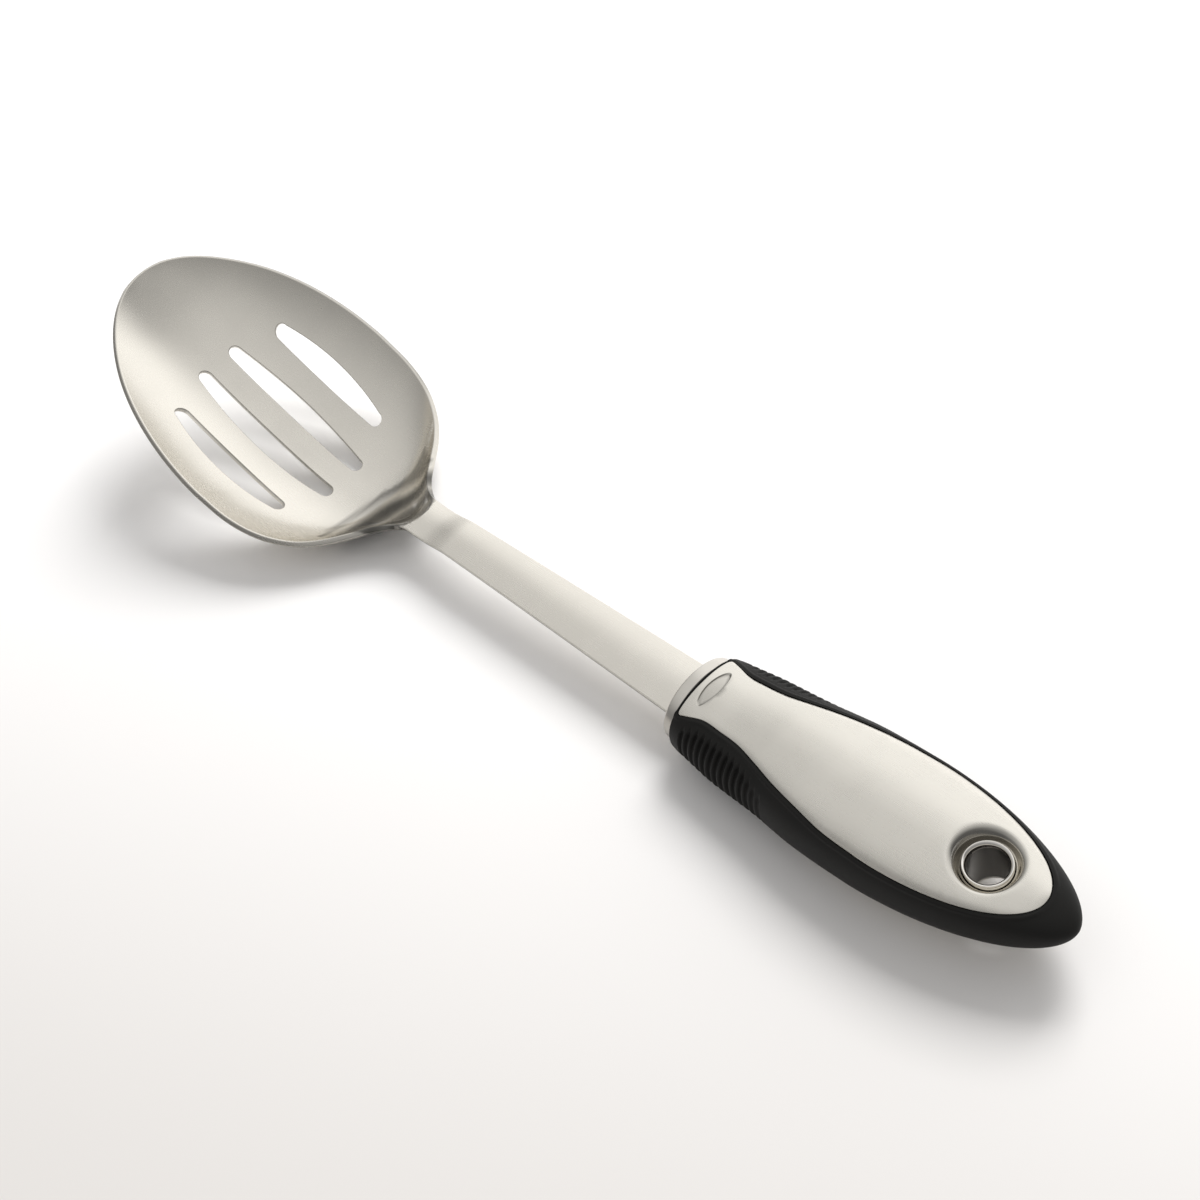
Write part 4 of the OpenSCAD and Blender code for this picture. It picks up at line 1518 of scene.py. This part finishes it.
@dataclass
class Eyelet:
    """The polished tube that lines the hanging hole."""

    inner: float = 4.7
    outer: float = 5.7
    sunk: float = 2.4
    lip: float = 2.5
    lip_shape: tuple[Span, ...] = (
        (5.7, 0.35), (5.67, 0.17), (5.6, 0.05), (5.5, 0.0), (5.4, 0.02), (5.28, 0.1), (5.12, 0.23),
        (4.96, 0.4), (4.83, 0.6), (4.74, 0.84), (4.7, 1.1), (4.7, 1.4), (4.7, 1.9))
    # Painted shade deep inside the tube.
    inner_painted_shade: float = 0.8
    dark_zone: Span = (0.9, 1.4)
    dark_within: float = 5.2
    count: int = 128

    def build(self) -> bpy.types.Object:
        """Builds and dresses the eyelet, its lips level with the floors of the wells."""
        at = np.array(LAYOUT.hole)
        top = float(HANDLE.skin(at, np.array(0.0), Side.TOP)) - self.sunk
        low = float(HANDLE.skin(at, np.array(0.0), Side.UNDER)) + self.sunk
        levels = top - self.lip, (top + low) / 2, low + self.lip
        profile = [(a, top - down) for a, down in self.lip_shape]
        profile += [(self.inner, z) for z in levels]
        profile += [(a, low + down) for a, down in self.lip_shape[::-1]]
        profile += [(self.outer, z) for z in levels[::-1]]
        w = np.linspace(0, 2 * math.pi, self.count, endpoint=False)
        top_slope, low_slope = (HANDLE.slope(LAYOUT.hole, side) for side in (Side.TOP, Side.UNDER))
        draft, rings = Draft(), []
        for a, z in profile:
            lean = (top_slope * ramp((z - top + self.lip) / self.lip)
                    + low_slope * ramp((low + self.lip - z) / self.lip))
            rings.append(draft.add(np.column_stack([LAYOUT.hole + a * np.cos(w), a * np.sin(w),
                                                    z + lean * a * np.cos(w)])))
        draft.join_rings(rings + rings[:1])
        piece = draft.make("eyelet_tube")
        # Painted shade darkens the inside of the tube away from its lips.
        deep = np.repeat([fade(top - z, *self.dark_zone) * fade(z - low, *self.dark_zone)
                          * (a < self.dark_within) for a, z in profile], self.count)
        set_attribute(piece, "polish", 1 - deep)
        set_attribute(piece, "painted_shading", 1 - self.inner_painted_shade * deep)
        finish_piece(piece, BRIGHT_EYELET.material(), "polished_steel", "hang_eyelet")
        return piece


@dataclass
class HiddenPieces:
    """The CAD's own core and pins, which keep their shape and get better materials."""

    def dress(self) -> None:
        """Gives the core and the pins their materials."""
        steel, plastic = PLAIN_PIN.material(), CORE_PLASTIC.material()
        for name, material in (("handle_core", plastic), ("front_pin", steel), ("rear_pin", steel)):
            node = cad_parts[name]
            node.data.materials.clear()
            node.data.materials.append(material)
            LOG.info("%s: kept from the CAD", name)


@dataclass
class Studio:
    """The plain floor, the soft light and the camera."""

    camera_place: Triple = (0.349033, -0.213249, 0.49034)
    right: Triple = (0.70394, 0.68387, -0.19184)
    up: Triple = (-0.45306, 0.64034, 0.62025)
    lens: float = 78.0
    sensor: float = 36.0
    floor_size: float = 3.0
    floor_far: Triple = (0.9, 0.89, 0.885)
    # Painted shade: the floor's colour towards the camera.
    floor_near_painted_shade: Triple = (0.7, 0.675, 0.65)
    floor_way: Triple = (-0.37, 0.93, 0.0)
    floor_zone: Span = (-0.19, 0.06)
    sky_dim: float = 0.26
    sky_overhead: float = 0.46
    overhead_zone: Span = (0.2, 1.0)
    sky_left: float = 0.08
    left_zone: Span = (0.2, -0.8)
    sky_bright: float = 1.15
    window: Triple = (-0.17, 0.92, 0.35)
    window_zone: Span = (0.55, 0.88)
    lamp_place: Triple = (-0.22, 0.88, 1.05)
    lamp_size: float = 0.7
    lamp_power: float = 16.5

    def floor(self) -> None:
        """Lays the pale floor, with painted shade that darkens its colour towards the camera."""
        size = self.floor_size
        mesh = bpy.data.meshes.new("floor")
        mesh.from_pydata([(-size, -size, 0), (size, -size, 0), (size, size, 0), (-size, size, 0)], [],
                         [(0, 1, 2, 3)])
        floor = bpy.data.objects.new("floor", mesh)
        bpy.context.scene.collection.objects.link(floor)
        made, board, shader = start_material("pale floor")
        place = board.add("ShaderNodeTexCoord").outputs["Object"]
        share = board.step(board.reach(place, self.floor_way), *self.floor_zone)
        board.set(shader, {"Base Color": board.blend(share, self.floor_near_painted_shade, self.floor_far),
                           "Roughness": 0.9, "Specular IOR Level": 0.1})
        mesh.materials.append(made)

    def world(self) -> None:
        """Makes the sky light: a broad bright window behind the spoon, dimmer all round."""
        world = bpy.data.worlds.new("studio")
        bpy.context.scene.world = world
        world.use_nodes = True
        board = Board(world.node_tree)
        place = board.add("ShaderNodeTexCoord").outputs["Generated"]
        side, _, up = board.add("ShaderNodeSeparateXYZ", {0: place}).outputs[:3]
        window = board.step(board.reach(place, self.window), *self.window_zone)
        overhead = board.math("MULTIPLY", board.step(up, *self.overhead_zone), self.sky_overhead)
        left = board.math("MULTIPLY", board.step(side, *self.left_zone), self.sky_left)
        dim = board.math("ADD", board.math("ADD", overhead, left), self.sky_dim)
        light = board.add("ShaderNodeMix", {"Factor": window, "A": dim, "B": self.sky_bright})
        board.set(world.node_tree.nodes["Background"], {"Color": (1.0, 1.0, 1.0, 1.0),
                                                        "Strength": light.outputs[0]})

    def lamp(self, name: str, place: Triple, aim: Triple, size: float, power: float) -> None:
        """Hangs one soft square lamp.

        Args:
            name: The lamp's name.
            place: Where it hangs, in metres.
            aim: What it points at, in metres.
            size: Its side, in metres.
            power: Its power, in watts.
        """
        data = bpy.data.lights.new(name, "AREA")
        data.shape, data.size, data.energy = "SQUARE", size, power
        lamp = bpy.data.objects.new(name, data)
        lamp.location = place
        lamp.rotation_euler = (Vector(aim) - Vector(place)).to_track_quat("-Z", "Y").to_euler()
        lamp.visible_glossy = False
        bpy.context.scene.collection.objects.link(lamp)

    def camera(self) -> None:
        """Sets the camera where the photograph was taken from."""
        data = bpy.data.cameras.new("camera")
        data.lens, data.sensor_width = self.lens, self.sensor
        data.clip_start, data.clip_end = 0.01, 20.0
        camera = bpy.data.objects.new("camera", data)
        right, up = Vector(self.right).normalized(), Vector(self.up).normalized()
        back = right.cross(up).normalized()
        turn = Matrix((right, up, back)).transposed().to_4x4()
        camera.matrix_world = Matrix.Translation(self.camera_place) @ turn
        bpy.context.scene.collection.objects.link(camera)
        bpy.context.scene.camera = camera

    def build(self) -> None:
        """Sets up the whole studio."""
        self.camera()
        self.floor()
        self.world()
        self.lamp("back light", self.lamp_place, (0.0, 0.0, 0.0), self.lamp_size, self.lamp_power)
        bpy.context.scene.view_settings.view_transform = "Standard"


def main() -> None:
    """Builds the spoon's pieces in order and reports each one."""
    logging.basicConfig(level=logging.INFO, format="%(message)s", force=True)
    Studio().build()
    SpoonBlank().build()
    Collar().build()
    SoftGrip().build()
    CoverPlate(Side.TOP).build()
    CoverPlate(Side.UNDER).build()
    Eyelet().build()
    HiddenPieces().dress()


if __name__ == "__main__":
    main()
